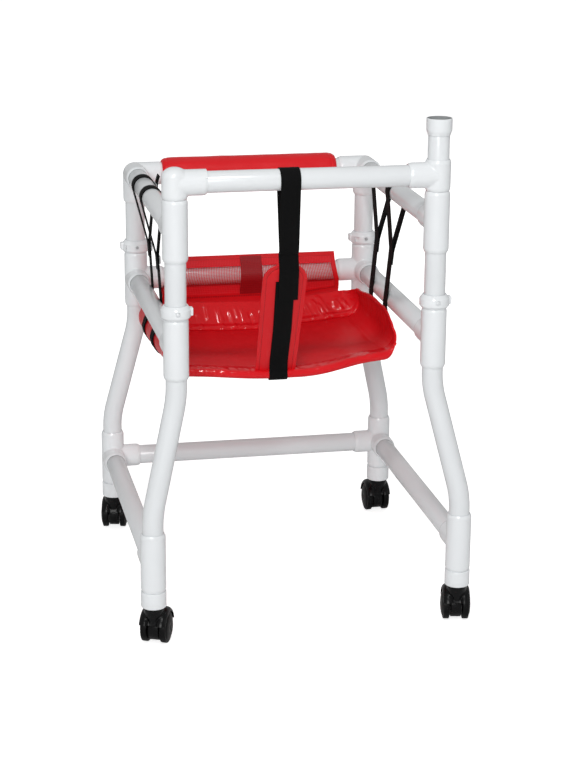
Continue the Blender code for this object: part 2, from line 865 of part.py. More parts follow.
def front_strap(material):
    """The strap looped over the front rail. It runs down the tongue, round the lip and under the seat."""
    joint = front_rail_height - front_strap_joint_below_rail
    tongue_top = seat_height + tongue_top_above_seat
    overlap_end = joint - front_strap_overlap
    route = [(-half_depth, joint), (-half_depth + webbing_gap, tongue_top + 2 * webbing_thickness)]
    below_top = tongue_top - 0.35 * tongue_width
    route.append((tongue_face(below_top, 2), below_top))
    route.append((tongue_face(overlap_end, 2), overlap_end))
    route.append((tongue_face(overlap_end - webbing_thickness, 1), overlap_end - webbing_thickness))
    above_lip = seat_height + 2 * lip_radius
    route.append((tongue_face(above_lip, 1), above_lip))
    gap = sling_thickness / 2 + webbing_gap + webbing_thickness / 2
    radius = lip_radius + gap
    lip_centre = seat_height - seat_sag - lip_radius
    for turn in (math.radians(angle) for angle in (65, 95, 125, 155, 180)):
        route.append((seat_front - radius * math.sin(turn), lip_centre + radius * math.cos(turn)))
    under = seat_height - seat_sag - gap - webbing_thickness - webbing_gap
    route.append((front_side_strap_y - side_strap_width, under))
    route.append((tongue_strap_rear, under))
    doubled = [index < 4 for index in range(len(route))]
    rail = (-half_depth, front_rail_height)
    place_x = (front_strap_x, 0, 0)
    piece = strap("front_strap", route, doubled, [rail], front_strap_width, place_x, material, facing_x)
    return slanted(piece, 0, 2, -front_strap_lean, front_rail_height)


def side_strap(name, y, material):
    """A strap looped over both side rails. It runs down inside the lower rails and under the seat."""
    offset = sling_thickness / 2 + webbing_gap + webbing_thickness / 2
    joint = (half_width - side_strap_joint_inset, upper_rail_height - side_strap_joint_below_rail)
    flap = seat_line(flap_length(side_strap_rise), offset)
    below_joint = (
        joint[0] + (flap[0] - joint[0]) * side_strap_overlap / (joint[1] - seat_height - flap[1]),
        joint[1] - side_strap_overlap,
    )
    right = [joint, below_joint, (flap[0], seat_height + flap[1])]
    arc = seat_corner_radius * (math.pi / 2 + math.radians(flap_lean_degrees))
    flat = seat_half_width - seat_corner_radius
    alongs = [flat + arc * step / 8 for step in range(8, -1, -1)]
    alongs += [flat * step / 3 for step in (2, 1)]
    for along in alongs:
        across, height = seat_line(along, offset)
        right.append((across, seat_height + height))
    middle = seat_line(0.0, offset)
    left = [(-across, height) for across, height in right]
    route = left + [(middle[0], seat_height + middle[1])] + right[::-1]
    doubled = [index < 2 or index >= len(route) - 2 for index in range(len(route))]
    rails = [(-half_width, upper_rail_height), (half_width, upper_rail_height)]
    piece = strap(name, route, doubled, rails, side_strap_width, (0, y, 0), material, facing_y)
    return slanted(piece, 1, 0, side_strap_slant)


def build_frame(white):
    """The pipes and fittings of both frames."""
    for name, (side, end) in corners.items():
        inward = [-along_y * end]
        if end > 0:
            inward.append(-along_x * side)
        post = Vector((side * half_width, end * half_depth, 0))
        foot = Vector((side * base_half_width, end * base_half_depth, 0))
        tee("lower_tee_" + name, post + up * lower_rail_height, tee_half_length, inward, white)
        base_tee = tee("base_tee_" + name, foot + up * base_rail_height, tee_half_length, inward, white)
        add_plug(base_tee, foot)
        leg("leg_" + name, side, end, white)
        if end < 0:
            tee("upper_tee_" + name, post + up * upper_rail_height, tee_half_length, inward, white)
        else:
            side_outlet_elbow("rear_elbow_" + name, post + up * upper_rail_height, inward, white)
        top = upper_rail_height - fit_gap
        if name == "front_left":
            top = front_rail_height - fit_gap
        if name == "front_right":
            top = mast_top - mast_socket_depth - fit_gap
        pipe("upright_" + name, post + up * upright_bottom, post + up * top, white)
    for side, name in ((-1, "left"), (1, "right")):
        for height, kind in ((upper_rail_height, "upper"), (lower_rail_height, "lower")):
            reach = half_depth - rail_end_from_axis
            start = Vector((side * half_width, -reach, height))
            pipe(kind + "_rail_" + name, start, start + along_y * 2 * reach, white)
        reach = base_half_depth - rail_end_from_axis
        start = Vector((side * base_half_width, -reach, base_rail_height))
        pipe("base_rail_" + name, start, start + along_y * 2 * reach, white)
    cross_rail("front_rail", half_width, -half_depth, front_rail_height, white)
    cross_rail("rear_top_rail", half_width, half_depth, upper_rail_height, white)
    cross_rail("rear_lower_rail", half_width, half_depth, lower_rail_height, white)
    cross_rail("rear_base_rail", base_half_width, base_half_depth, base_rail_height, white)


def cross_rail(name, half, y, height, material):
    reach = half - rail_end_from_axis
    return pipe(name, (-reach, y, height), (reach, y, height), material)


def build_front_fittings(white):
    """The elbow and the slip tee that hold the front rail, and the open socket on the mast."""
    left = Vector((-half_width, -half_depth, front_rail_height))
    right = Vector((half_width, -half_depth, front_rail_height))
    domed_elbow("front_elbow", left, along_x, white)
    tee("mast_tee", right, slip_tee_half_length, [-along_x], white)
    outline = [
        (bore_radius, 0),
        (fitting_radius - fitting_chamfer / 2, 0),
        (fitting_radius, -fitting_chamfer / 2),
        (fitting_radius, mast_socket_taper - mast_socket_height),
        (fitting_radius - 2 * fitting_chamfer, -mast_socket_height),
        (bore_radius, -mast_socket_height),
    ]
    turned("mast_socket", outline, white, (half_width, -half_depth, mast_top))


def build_locks(white, grey):
    for name, (side, end) in corners.items():
        locking_collar(name, side, end, white)
        snap_pin("lock_pin_" + name, side, end, grey)


def build_casters(black):
    for name, (side, end) in corners.items():
        swivel = caster_empty(name, side, end)
        caster_body(name, swivel, black)
        caster_wheel(name + "_left", -1, swivel, black)
        caster_wheel(name + "_right", 1, swivel, black)


def build_soft_parts(red, mesh_fabric, webbing):
    padded_sleeve(red)
    mesh_sleeve(mesh_fabric)
    seat_sling(red)
    front_strap(webbing)
    side_strap("side_strap_front", front_side_strap_y, webbing)
    side_strap("side_strap_rear", rear_side_strap_y, webbing)


def build_walker():
    white = plain_material("white PVC", pvc_white, 0.25)
    grey = plain_material("grey nylon", pin_grey, 0.40)
    black = plain_material("black nylon", nylon_black, 0.35)
    red = plain_material("red vinyl", vinyl_red, 0.30)
    mesh_fabric = plain_material("red coated mesh", mesh_red, 0.60)
    webbing = plain_material("black webbing", webbing_black, 0.70)
    build_frame(white)
    build_front_fittings(white)
    build_locks(white, grey)
    build_casters(black)
    build_soft_parts(red, mesh_fabric, webbing)


def move_to_footprint_middle():
    """Puts the middle of the footprint at the origin: the casters trail to the rear, so it isn't the posts' middle."""
    reaches = [[], []]
    for obj in walker.objects:
        if obj.type == "MESH":
            mesh = final_mesh(obj)
            for axis in (0, 1):
                reaches[axis] += [vertex.co[axis] for vertex in mesh.vertices]
            bpy.data.meshes.remove(mesh)
    shift = Vector([-(min(reach) + max(reach)) / 2 for reach in reaches] + [0])
    for obj in bpy.data.objects:
        if obj.parent is None:
            obj.location += shift
    print("moved by", [round(value, 6) for value in shift])


clear_scene()
walker = new_collection("pediatric_walker")
cutters = new_collection("cutters")
build_walker()
move_to_footprint_middle()
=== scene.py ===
import json
import math
import random

import bpy
from mathutils import Matrix, Vector, noise


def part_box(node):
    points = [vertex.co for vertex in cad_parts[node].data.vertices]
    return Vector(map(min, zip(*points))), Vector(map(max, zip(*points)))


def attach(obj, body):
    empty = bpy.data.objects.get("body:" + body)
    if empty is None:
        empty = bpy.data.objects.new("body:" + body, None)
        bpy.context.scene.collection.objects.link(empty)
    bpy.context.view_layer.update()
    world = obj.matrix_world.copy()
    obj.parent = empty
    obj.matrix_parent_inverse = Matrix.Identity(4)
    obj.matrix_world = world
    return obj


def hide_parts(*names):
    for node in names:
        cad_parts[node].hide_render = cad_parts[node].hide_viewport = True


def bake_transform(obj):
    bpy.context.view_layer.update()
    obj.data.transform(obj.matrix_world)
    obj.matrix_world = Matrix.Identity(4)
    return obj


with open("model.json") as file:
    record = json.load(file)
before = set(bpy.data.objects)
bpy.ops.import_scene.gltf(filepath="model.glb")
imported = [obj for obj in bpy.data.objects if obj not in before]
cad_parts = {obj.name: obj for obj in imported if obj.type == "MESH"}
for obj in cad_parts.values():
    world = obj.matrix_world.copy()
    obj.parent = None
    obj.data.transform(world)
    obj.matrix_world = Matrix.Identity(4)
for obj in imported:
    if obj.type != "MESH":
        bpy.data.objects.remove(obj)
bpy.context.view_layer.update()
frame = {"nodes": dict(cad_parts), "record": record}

# Distances between the pipes' axes, measured from the middle of the four uprights
layout = {"halfWidth": 0.205, "halfDepth": 0.235, "footHalfWidth": 0.2485, "footHalfDepth": 0.2635,
          "baseRail": 0.140, "lowerRail": 0.477, "upperRail": 0.6625, "frontRail": 0.7353, "mastTop": 0.8233}
corners = {"front_left": (-1, -1), "front_right": (1, -1), "rear_left": (-1, 1), "rear_right": (1, 1)}


def middleOf(node):
    low, high = (Vector(corner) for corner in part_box(node))
    return (low + high) / 2


postsMiddle = Vector((middleOf("front_rail").x, middleOf("upper_rail_left").y, 0))


def atPosts(x, y, z):  # a place measured from the middle of the uprights
    return postsMiddle + Vector((x, y, z))


def postOf(corner, z=0.0):
    side, end = corners[corner]
    return atPosts(side * layout["halfWidth"], end * layout["halfDepth"], z)


def footOf(corner, z=0.0):
    side, end = corners[corner]
    return atPosts(side * layout["footHalfWidth"], end * layout["footHalfDepth"], z)


# Small helpers for working as by hand

def pick(*pieces):
    bpy.ops.object.select_all(action="DESELECT")
    for piece in pieces:
        piece.select_set(True)
    bpy.context.view_layer.objects.active = pieces[0]


def edit(piece):
    pick(piece)
    bpy.ops.object.mode_set(mode="EDIT")
    bpy.ops.mesh.select_mode(type="VERT")
    bpy.ops.mesh.select_all(action="SELECT")


def endEdit():
    bpy.ops.object.mode_set(mode="OBJECT")


def editEdges(piece, wanted):  # edit mode with only those edges selected whose two ends pass the test
    edit(piece)
    bpy.ops.mesh.select_all(action="DESELECT")
    bpy.ops.mesh.select_mode(type="EDGE")
    endEdit()
    for edge in piece.data.edges:
        edge.select = all(wanted(piece.data.vertices[index].co) for index in edge.vertices)
    bpy.ops.object.mode_set(mode="EDIT")


def extrude(step):
    bpy.ops.mesh.extrude_region_move(TRANSFORM_OT_translate={"value": step})


def mergeAndEnd():  # double points merged, faces turned outwards, edit mode ended
    bpy.ops.mesh.select_all(action="SELECT")
    bpy.ops.mesh.remove_doubles(threshold=0.00001)
    bpy.ops.mesh.normals_make_consistent(inside=False)
    endEdit()


def applyModifiers(piece):
    pick(piece)
    for modifier in list(piece.modifiers):
        bpy.ops.object.modifier_apply(modifier=modifier.name)


def modify(piece, kind, **settings):
    modifier = piece.modifiers.new(kind, kind)
    for key, value in settings.items():
        setattr(modifier, key, value)
    applyModifiers(piece)


def settle(piece):  # the object to the origin, its place into the mesh
    pick(piece)
    bpy.ops.object.transform_apply(location=True, rotation=True, scale=True)


def named(piece, name):
    piece.name = name
    piece.data.name = name
    return piece


def newest(name):  # the primitive just added, named and settled
    piece = named(bpy.context.active_object, name)
    settle(piece)
    return piece


def aimed(direction):
    return Vector(direction).to_track_quat("Z", "Y").to_euler()


def rod(name, start, end, radius, sides=64, ends="NGON"):
    start, end = Vector(start), Vector(end)
    bpy.ops.mesh.primitive_cylinder_add(
        vertices=sides, radius=radius, depth=(end - start).length, end_fill_type=ends,
        location=(start + end) / 2, rotation=aimed(end - start))
    return newest(name)


def block(name, size, place=(0, 0, 0), turnZ=0.0):
    bpy.ops.mesh.primitive_cube_add(size=1.0, location=place, rotation=(0, 0, turnZ), scale=size)
    return newest(name)


def ball(name, radius, height=0.0, rise=1.0):
    bpy.ops.mesh.primitive_uv_sphere_add(segments=96, ring_count=48, radius=radius, location=(0, 0, height),
                                         scale=(1, 1, rise))
    return newest(name)


def cutWith(piece, cutter, operation="DIFFERENCE"):
    modify(piece, "BOOLEAN", operation=operation, solver="EXACT", object=cutter)
    bpy.data.objects.remove(cutter)


def copyOf(piece, name, place=(0, 0, 0), turnZ=0.0):
    pick(piece)
    bpy.ops.object.duplicate(linked=False)
    copy = named(bpy.context.active_object, name)
    copy.rotation_euler = (0, 0, turnZ)
    copy.location = place
    settle(copy)
    return copy


def discard(*shapes):
    for shape in shapes:
        bpy.data.objects.remove(shape)


def smoothShade(piece, degrees=35):
    pick(piece)
    bpy.ops.object.shade_smooth_by_angle(angle=math.radians(degrees))


def roundEdges(piece, width, segments=2, degrees=40):
    modify(piece, "BEVEL", width=width, segments=segments, limit_method="ANGLE",
           angle_limit=math.radians(degrees))


def turnedPiece(name, outline, place=(0, 0, 0), direction=(0, 0, 1), sides=64):
    # One point is pulled along the outline, given as radius and height, and spun round the upright axis
    bpy.ops.mesh.primitive_plane_add(size=0.001, location=(0, 0, 0))
    piece = newest(name)
    edit(piece)
    bpy.ops.mesh.merge(type="CENTER")
    bpy.ops.transform.translate(value=(outline[0][0], 0, outline[0][1]))
    for (radius, height), (nextRadius, nextHeight) in zip(outline, outline[1:]):
        extrude((nextRadius - radius, 0, nextHeight - height))
    bpy.ops.mesh.select_all(action="SELECT")
    bpy.ops.mesh.spin(steps=sides, angle=2 * math.pi, center=(0, 0, 0), axis=(0, 0, 1))
    mergeAndEnd()
    piece.rotation_euler = aimed(direction)
    piece.location = place
    settle(piece)
    return piece


def paint(piece, material):
    piece.data.materials.clear()
    piece.data.materials.append(materials[material])


def dress(piece, slot, material, *nodes):  # its finish and the CAD nodes that it stands for
    paint(piece, material)
    if nodes:
        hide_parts(*nodes)


def fit(piece, body, slot, material, *nodes):
    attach(piece, body)
    dress(piece, slot, material, *nodes)


def fitMoulded(piece, body, *nodes):
    fit(piece, body, "white_pvc", "mouldedPvc", *nodes)


# Materials

materials = {}


def linearFromHex(code):
    values = [int(code[place:place + 2], 16) / 255 for place in (1, 3, 5)]
    return tuple(v / 12.92 if v <= 0.04045 else ((v + 0.055) / 1.055) ** 2.4 for v in values) + (1.0,)


def setNode(tree, node, settings):  # a socket among the settings is linked, anything else is set
    for key, value in settings.items():
        if isinstance(value, bpy.types.NodeSocket):
            tree.links.new(value, node.inputs[key])
        elif isinstance(key, int) or key in node.inputs:
            node.inputs[key].default_value = value
        else:
            setattr(node, key, value)


def addNode(tree, kind, settings, output=0):  # gives back one of the new node's outputs
    node = tree.nodes.new("ShaderNode" + kind)
    setNode(tree, node, settings)
    return node.outputs[output]


def newMaterial(name):
    material = bpy.data.materials.new(name)
    material.use_nodes = True
    materials[name] = material
    return material.node_tree, material.node_tree.nodes["Principled BSDF"]


def clouded(tree, scale, detail, low, high):
    # A place, a cloud of noise there, and a colour that drifts with the cloud from one code to the other
    place = addNode(tree, "TexCoord", {}, "Object")
    cloud = addNode(tree, "TexNoise", {"Scale": scale, "Detail": detail, "Vector": place}, "Fac")
    tint = addNode(tree, "Mix", {"data_type": "RGBA", "Factor": cloud, "A": linearFromHex(low),
                                 "B": linearFromHex(high)}, "Result")
    return place, cloud, tint


def extrudedPvc():
    # Furniture-grade PVC pipe, extruded: cool white, glossy, with a faint ripple and a few rubbed patches
    tree, shader = newMaterial("extrudedPvc")
    place, cloud, tint = clouded(tree, 9.0, 3.0, "#E1E4E6", "#E6E9EB")
    rub = addNode(tree, "TexNoise", {"Scale": 55.0, "Detail": 4.0, "Roughness": 0.6, "Vector": place}, "Fac")
    gloss = addNode(tree, "MapRange", {"From Min": 0.3, "From Max": 0.8, "To Min": 0.20, "To Max": 0.27,
                                       "Value": rub})
    ripple = addNode(tree, "TexNoise", {"Scale": 90.0, "Detail": 1.0, "Vector": place}, "Fac")  # about 11 mm
    bump = addNode(tree, "Bump", {"Strength": 0.02, "Distance": 0.0004, "Height": ripple})
    setNode(tree, shader, {"Base Color": tint, "Roughness": gloss, "Normal": bump, "IOR": 1.53})


def mouldedPvc():
    # PVC fittings, injection moulded: a touch whiter than the pipe, with the mould's fine ripple in its shine
    tree, shader = newMaterial("mouldedPvc")
    place, cloud, tint = clouded(tree, 16.0, 2.0, "#E7EAEC", "#EBEEF0")
    ripple = addNode(tree, "TexNoise", {"Scale": 420.0, "Detail": 2.0, "Vector": place}, "Fac")  # 2 to 3 mm
    bump = addNode(tree, "Bump", {"Strength": 0.03, "Distance": 0.0003, "Height": ripple})
    setNode(tree, shader, {"Base Color": tint, "Normal": bump, "Roughness": 0.19, "IOR": 1.53})


def paintedShadePvc():
    # The inside of the mast's mouth: rough, and painted a dark grey as painted shade of the hole, so that it
    # reads as a dark hole
    tree, shader = newMaterial("paintedShadePvc")
    tint = clouded(tree, 240.0, 3.0, "#878A8B", "#989B9C")[2]
    setNode(tree, shader, {"Base Color": tint, "Roughness": 0.75, "Specular IOR Level": 0.15})


def mouldedNylon(name, low, high, roughness, grain, shine=0.5):
    # Moulded nylon: satin, with a fine spark grain from the mould that breaks up its highlights
    tree, shader = newMaterial(name)
    place, cloud, tint = clouded(tree, 60.0, 3.0, low, high)
    gloss = addNode(tree, "MapRange", {"To Min": roughness - 0.05, "To Max": roughness + 0.09,
                                       "Value": cloud})
    sparks = addNode(tree, "TexVoronoi", {"Scale": 1.0 / grain, "Vector": place}, "Distance")
    bump = addNode(tree, "Bump", {"Strength": 0.12, "Distance": 0.0001, "Height": sparks})
    setNode(tree, shader, {"Base Color": tint, "Roughness": gloss, "Normal": bump, "IOR": 1.53,
                           "Specular IOR Level": shine})


def uvPlace(tree):  # the way across and the way along a sheet, in metres
    place = addNode(tree, "TexCoord", {}, "UV")
    return [addNode(tree, "SeparateXYZ", {"Vector": place}, way) for way in ("X", "Y")]


def bandNear(tree, source, middle, half):  # 1 within half of the middle, 0 further off
    off = addNode(tree, "Math", {"operation": "SUBTRACT", 0: source, 1: middle})
    off = addNode(tree, "Math", {"operation": "ABSOLUTE", 0: off})
    return addNode(tree, "MapRange", {"From Min": half * 1.3, "From Max": half * 0.7, "Value": off})


def stitchesAt(tree, row, run):  # a stitch of 3 mm and a gap of 1 mm, along the row
    dash = addNode(tree, "Math", {"operation": "PINGPONG", 0: run, 1: 0.002})
    dash = addNode(tree, "Math", {"operation": "LESS_THAN", 0: dash, 1: 0.0015})
    return addNode(tree, "Math", {"operation": "MULTIPLY", 0: row, 1: dash})


def redVinyl():
    # Vinyl-coated cloth: saturated red with a soft shine, shinier where it is drawn tight, a leather-like
    # grain, and rows of stitches along the hems
    tree, shader = newMaterial("redVinyl")
    place, cloud, tint = clouded(tree, 14.0, 3.0, "#D2121B", "#DE1A23")
    marks = [addNode(tree, "Attribute", {"attribute_name": name}, "Fac")
             for name in ("hemDistance", "hemRun", "drawnTight")]
    row = bandNear(tree, marks[0], 0.0068, 0.0006)
    stitch = stitchesAt(tree, row, marks[1])
    tint = addNode(tree, "Mix", {"data_type": "RGBA", "Factor": stitch, "A": tint,
                                 "B": linearFromHex("#B0121B")}, "Result")
    gloss = addNode(tree, "MapRange", {"To Min": 0.36, "To Max": 0.46, "Value": cloud})
    gloss = addNode(tree, "Math", {"operation": "MULTIPLY_ADD", 0: marks[2], 1: -0.27, 2: gloss})
    # The grain is about 1.5 mm, coarser than the real 0.7 mm, so that it shows; the ripple is about 25 mm
    grain = addNode(tree, "TexVoronoi", {"Scale": 650.0, "Vector": place}, "Distance")
    ripple = addNode(tree, "TexNoise", {"Scale": 40.0, "Detail": 2.0, "Vector": place}, "Fac")
    sewn = addNode(tree, "Math", {"operation": "MULTIPLY", 0: row, 1: -0.8})
    sewn = addNode(tree, "Math", {"operation": "MULTIPLY_ADD", 0: stitch, 1: 0.7, 2: sewn})
    bump = addNode(tree, "Bump", {"Strength": 0.45, "Distance": 0.0005, "Height": sewn})
    bump = addNode(tree, "Bump", {"Strength": 0.30, "Distance": 0.0012, "Height": ripple, "Normal": bump})
    bump = addNode(tree, "Bump", {"Strength": 0.16, "Distance": 0.00015, "Height": grain, "Normal": bump})
    setNode(tree, shader, {"Base Color": tint, "Roughness": gloss, "Normal": bump,
                           "Specular IOR Level": 0.25})


def coatedMesh(name, low, high, across, along):
    # Vinyl-coated mesh: round threads each way with see-through gaps. Its 3 mm pitch is coarser than the real
    # one, about 1.2 mm, which the picture couldn't show. across and along are the shares that threads cover
    tree, shader = newMaterial(name)
    halfPitch = 0.0015
    waves = []
    for source, share in zip(uvPlace(tree), (across, along)):
        off = addNode(tree, "Math", {"operation": "PINGPONG", 0: source, 1: halfPitch})
        waves.append(addNode(tree, "MapRange", {"From Min": share * halfPitch, "From Max": 0.0,
                                                "Value": off}))
    height = addNode(tree, "Math", {"operation": "MAXIMUM", 0: waves[0], 1: waves[1]})
    cover = addNode(tree, "Math", {"operation": "GREATER_THAN", 0: height, 1: 0.02})
    shown = addNode(tree, "Attribute", {"attribute_name": "overRail"}, "Fac")
    closed = addNode(tree, "Math", {"operation": "LESS_THAN", 0: shown, 1: 0.5})
    alpha = addNode(tree, "Math", {"operation": "MAXIMUM", 0: cover, 1: closed})
    # Each thread is painted lighter along its crest and darker at its sides: a painted highlight on the round
    # threads
    tint = addNode(tree, "Mix", {"data_type": "RGBA", "Factor": height, "A": linearFromHex(low),
                                 "B": linearFromHex(high)}, "Result")
    bump = addNode(tree, "Bump", {"Strength": 0.7, "Distance": 0.0005, "Height": height})
    setNode(tree, shader, {"Alpha": alpha, "Base Color": tint, "Normal": bump, "Roughness": 0.42,
                           "Specular IOR Level": 0.25})


def wovenWebbing():
    # Black polypropylene webbing: a dull weave with herringbone ribs, which are 2 mm apart, coarser than the
    # real 1 mm, so that they show
    tree, shader = newMaterial("wovenWebbing")
    across, along = uvPlace(tree)
    fold = addNode(tree, "Math", {"operation": "PINGPONG", 0: across, 1: 0.0042})
    slant = addNode(tree, "Math", {"operation": "ADD", 0: fold, 1: along})
    turn = addNode(tree, "Math", {"operation": "MULTIPLY", 0: slant, 1: 2 * math.pi / 0.002})
    rib = addNode(tree, "Math", {"operation": "SINE", 0: turn})
    level = addNode(tree, "MapRange", {"From Min": -1.0, "From Max": 1.0, "Value": rib})
    # The ribs are painted lighter at their crests and darker between them: painted shading of the weave
    tint = addNode(tree, "Mix", {"data_type": "RGBA", "Factor": level, "A": linearFromHex("#020202"),
                                 "B": linearFromHex("#0F0F10")}, "Result")
    bump = addNode(tree, "Bump", {"Strength": 0.55, "Distance": 0.0003, "Height": level})
    setNode(tree, shader, {"Base Color": tint, "Normal": bump, "Roughness": 0.78, "Specular IOR Level": 0.10})


def zincSteel():
    # Zinc-plated steel plate: bright, a little worn, with fine streaks in its shine
    tree, shader = newMaterial("zincSteel")
    place, streaks, tint = clouded(tree, 380.0, 4.0, "#9EA1A3", "#CBCDCE")
    gloss = addNode(tree, "MapRange", {"To Min": 0.22, "To Max": 0.42, "Value": streaks})
    setNode(tree, shader, {"Base Color": tint, "Roughness": gloss, "Metallic": 1.0})


extrudedPvc()
mouldedPvc()
paintedShadePvc()
mouldedNylon("blackNylon", "#050506", "#0A0A0B", 0.25, 0.0012, 0.16)
mouldedNylon("blackTread", "#040404", "#080809", 0.38, 0.0016, 0.13)
mouldedNylon("greyNylon", "#A2A5A7", "#AFB1B3", 0.36, 0.0010)
mouldedNylon("whiteNylon", "#DADDDF", "#E2E5E7", 0.27, 0.0010)
redVinyl()
coatedMesh("coatedMesh", "#E01C26", "#F53540", 0.34, 0.17)
# The same mesh in a darker red for its doubled stretch: painted shade between the two layers
coatedMesh("shadedDoubledMesh", "#8A0E15", "#A4141C", 0.90, 0.75)
wovenWebbing()
zincSteel()
slots = {"white_pvc": "extrudedPvc", "grey_nylon": "greyNylon", "black_nylon": "blackNylon",
         "red_vinyl": "redVinyl", "red_mesh": "coatedMesh", "black_webbing": "wovenWebbing"}
for part in frame["record"]["subparts"]:
    paint(frame["nodes"][part["node"]], slots[part["material_slot"]])
print("stage: materials")


# Straight pipes, each where its node is
pipe = {"radius": 0.0167, "wall": 0.0034, "sides": 72, "rim": 0.0005}
straightPipes = {
    "upper_frame": ["upright_" + corner for corner in corners]
    + ["front_rail", "rear_top_rail", "upper_rail_left", "upper_rail_right"],
    "lower_frame": ["lower_rail_left", "lower_rail_right", "rear_lower_rail", "base_rail_left",
                    "base_rail_right", "rear_base_rail"]}


def finishPipe(piece, node, body):
    modify(piece, "SOLIDIFY", thickness=pipe["wall"], offset=-1.0)
    roundEdges(piece, pipe["rim"], 2, 60)
    smoothShade(piece)
    fit(piece, body, "white_pvc", "extrudedPvc", node)


for body, nodes in straightPipes.items():
    for node in nodes:
        low, high = (Vector(corner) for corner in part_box(node))
        axis = max(range(3), key=lambda way: high[way] - low[way])
        start, end = (low + high) / 2, (low + high) / 2
        start[axis], end[axis] = low[axis], high[axis]
        finishPipe(rod("pipe_" + node, start, end, pipe["radius"], pipe["sides"], "NOTHING"), node, body)
print("stage: straight pipes")


# Legs: straight, bent outwards, straight, bent back
legs = {"top": 0.456, "bendTop": 0.419, "bendBottom": 0.196, "bottom": 0.161, "bendRadius": 0.150,
        "steps": 12}


def bentLeg(corner):
    top, foot = postOf(corner), footOf(corner)
    outward = foot - top
    splay = outward.length
    outward.normalize()
    radius = legs["bendRadius"]
    rise, across = legs["bendTop"] - legs["bendBottom"], 2 * radius - splay
    slant = math.atan2(rise, across) - math.acos(2 * radius / math.hypot(rise, across))
    axis = outward.cross(Vector((0, 0, 1)))
    swing, drop = radius * (1 - math.cos(slant)), radius * math.sin(slant)
    start = top + outward * swing + Vector((0, 0, legs["bendTop"] - drop))
    end = foot - outward * swing + Vector((0, 0, legs["bendBottom"] + drop))
    bpy.ops.mesh.primitive_circle_add(vertices=pipe["sides"], radius=pipe["radius"], fill_type="NOTHING",
                                      location=top + Vector((0, 0, legs["top"])))
    piece = newest("pipe_leg_" + corner)
    edit(piece)
    extrude((0, 0, legs["bendTop"] - legs["top"]))
    bpy.ops.mesh.spin(steps=legs["steps"], angle=-slant, axis=axis,
                      center=top + outward * radius + Vector((0, 0, legs["bendTop"])))
    extrude(end - start)
    bpy.ops.mesh.spin(steps=legs["steps"], angle=slant, axis=axis,
                      center=foot - outward * radius + Vector((0, 0, legs["bendBottom"])))
    extrude((0, 0, legs["bottom"] - legs["bendBottom"]))
    mergeAndEnd()
    finishPipe(piece, "leg_" + corner, "lower_frame")


for corner in corners:
    bentLeg(corner)
print("stage: legs")


# Moulded fittings: hubs joined with soft fillets, rounded off towards their rims, and bored for the pipes
fitting = {"radius": 0.0200, "bore": 0.0170, "hub": 0.0480, "shortHub": 0.0245, "spare": 0.006, "sides": 96,
           "voxel": 0.0010, "passes": 12, "filletFrom": 0.0002, "endLength": 0.0065, "endDrop": 0.0019,
           "endPower": 2.2, "domeFrom": 0.010, "domeKept": 0.009, "domeTop": 0.0245, "pastMiddle": 0.001}


def softSkin(name, pieces, voxel, passes):  # one moulded skin over pieces that overlap
    pick(*pieces)
    bpy.ops.object.join()
    piece = named(pieces[0], name)
    modify(piece, "REMESH", mode="VOXEL", voxel_size=voxel)
    edit(piece)
    bpy.ops.mesh.vertices_smooth(factor=0.5, repeat=passes)
    endEdit()
    return piece


def nearestHub(place, hubs):  # a point on its axis, the way from there to the place, and the way to its rim
    best = None
    for direction, reach in hubs:
        along = place.dot(direction)
        off = place - direction * max(along, 0.0)
        if best is None or off.length < best[1].length:
            best = (direction * max(along, 0.0), off, reach - along)
    return best


def trueHubs(piece, hubs, domed):
    # Puts the skin back on true cylinders, apart from the fillets, and rounds each hub off towards its rim
    for vertex in piece.data.vertices:
        if domed and vertex.co.z > fitting["domeKept"]:
            continue
        axisPoint, off, toRim = nearestHub(vertex.co, hubs)
        fillet = max(0.0, off.length - fitting["radius"] - fitting["filletFrom"])
        near = min(1.0, max(0.0, 1 - toRim / fitting["endLength"]))
        radius = fitting["radius"] + fillet - fitting["endDrop"] * near ** fitting["endPower"]
        vertex.co = axisPoint + off.normalized() * radius


def fittingShape(name, hubs, domed=False):
    radius, spare, sides = fitting["radius"], fitting["spare"], fitting["sides"]
    through = any(direction.z > 0.5 for direction, reach in hubs)
    pieces = [rod(name, (0, 0, 0), direction * (reach + spare), radius, sides) for direction, reach in hubs]
    if domed:
        rise = (fitting["domeTop"] - fitting["domeFrom"]) / radius
        pieces.append(rod("domeNeck", (0, 0, 0), (0, 0, fitting["domeFrom"]), radius, sides))
        pieces.append(ball("dome", radius, fitting["domeFrom"], rise))
    elif not through:
        pieces.append(ball("ball", radius))
    piece = softSkin(name, pieces, fitting["voxel"], fitting["passes"])
    trueHubs(piece, hubs, domed)
    edit(piece)
    for direction, reach in hubs:
        bpy.ops.mesh.select_all(action="SELECT")
        bpy.ops.mesh.bisect(plane_co=direction * reach, plane_no=direction, use_fill=True, clear_outer=True)
    endEdit()
    for direction, reach in hubs:
        start = Vector((0, 0, 0))
        if direction.z > 0.5:  # bored from below, right through
            continue
        if direction.z < -0.5:
            start.z = reach + spare if through else fitting["pastMiddle"]
        cutWith(piece, rod("bore", start, direction * (reach + spare), fitting["bore"], 72))
    smoothShade(piece)
    return piece


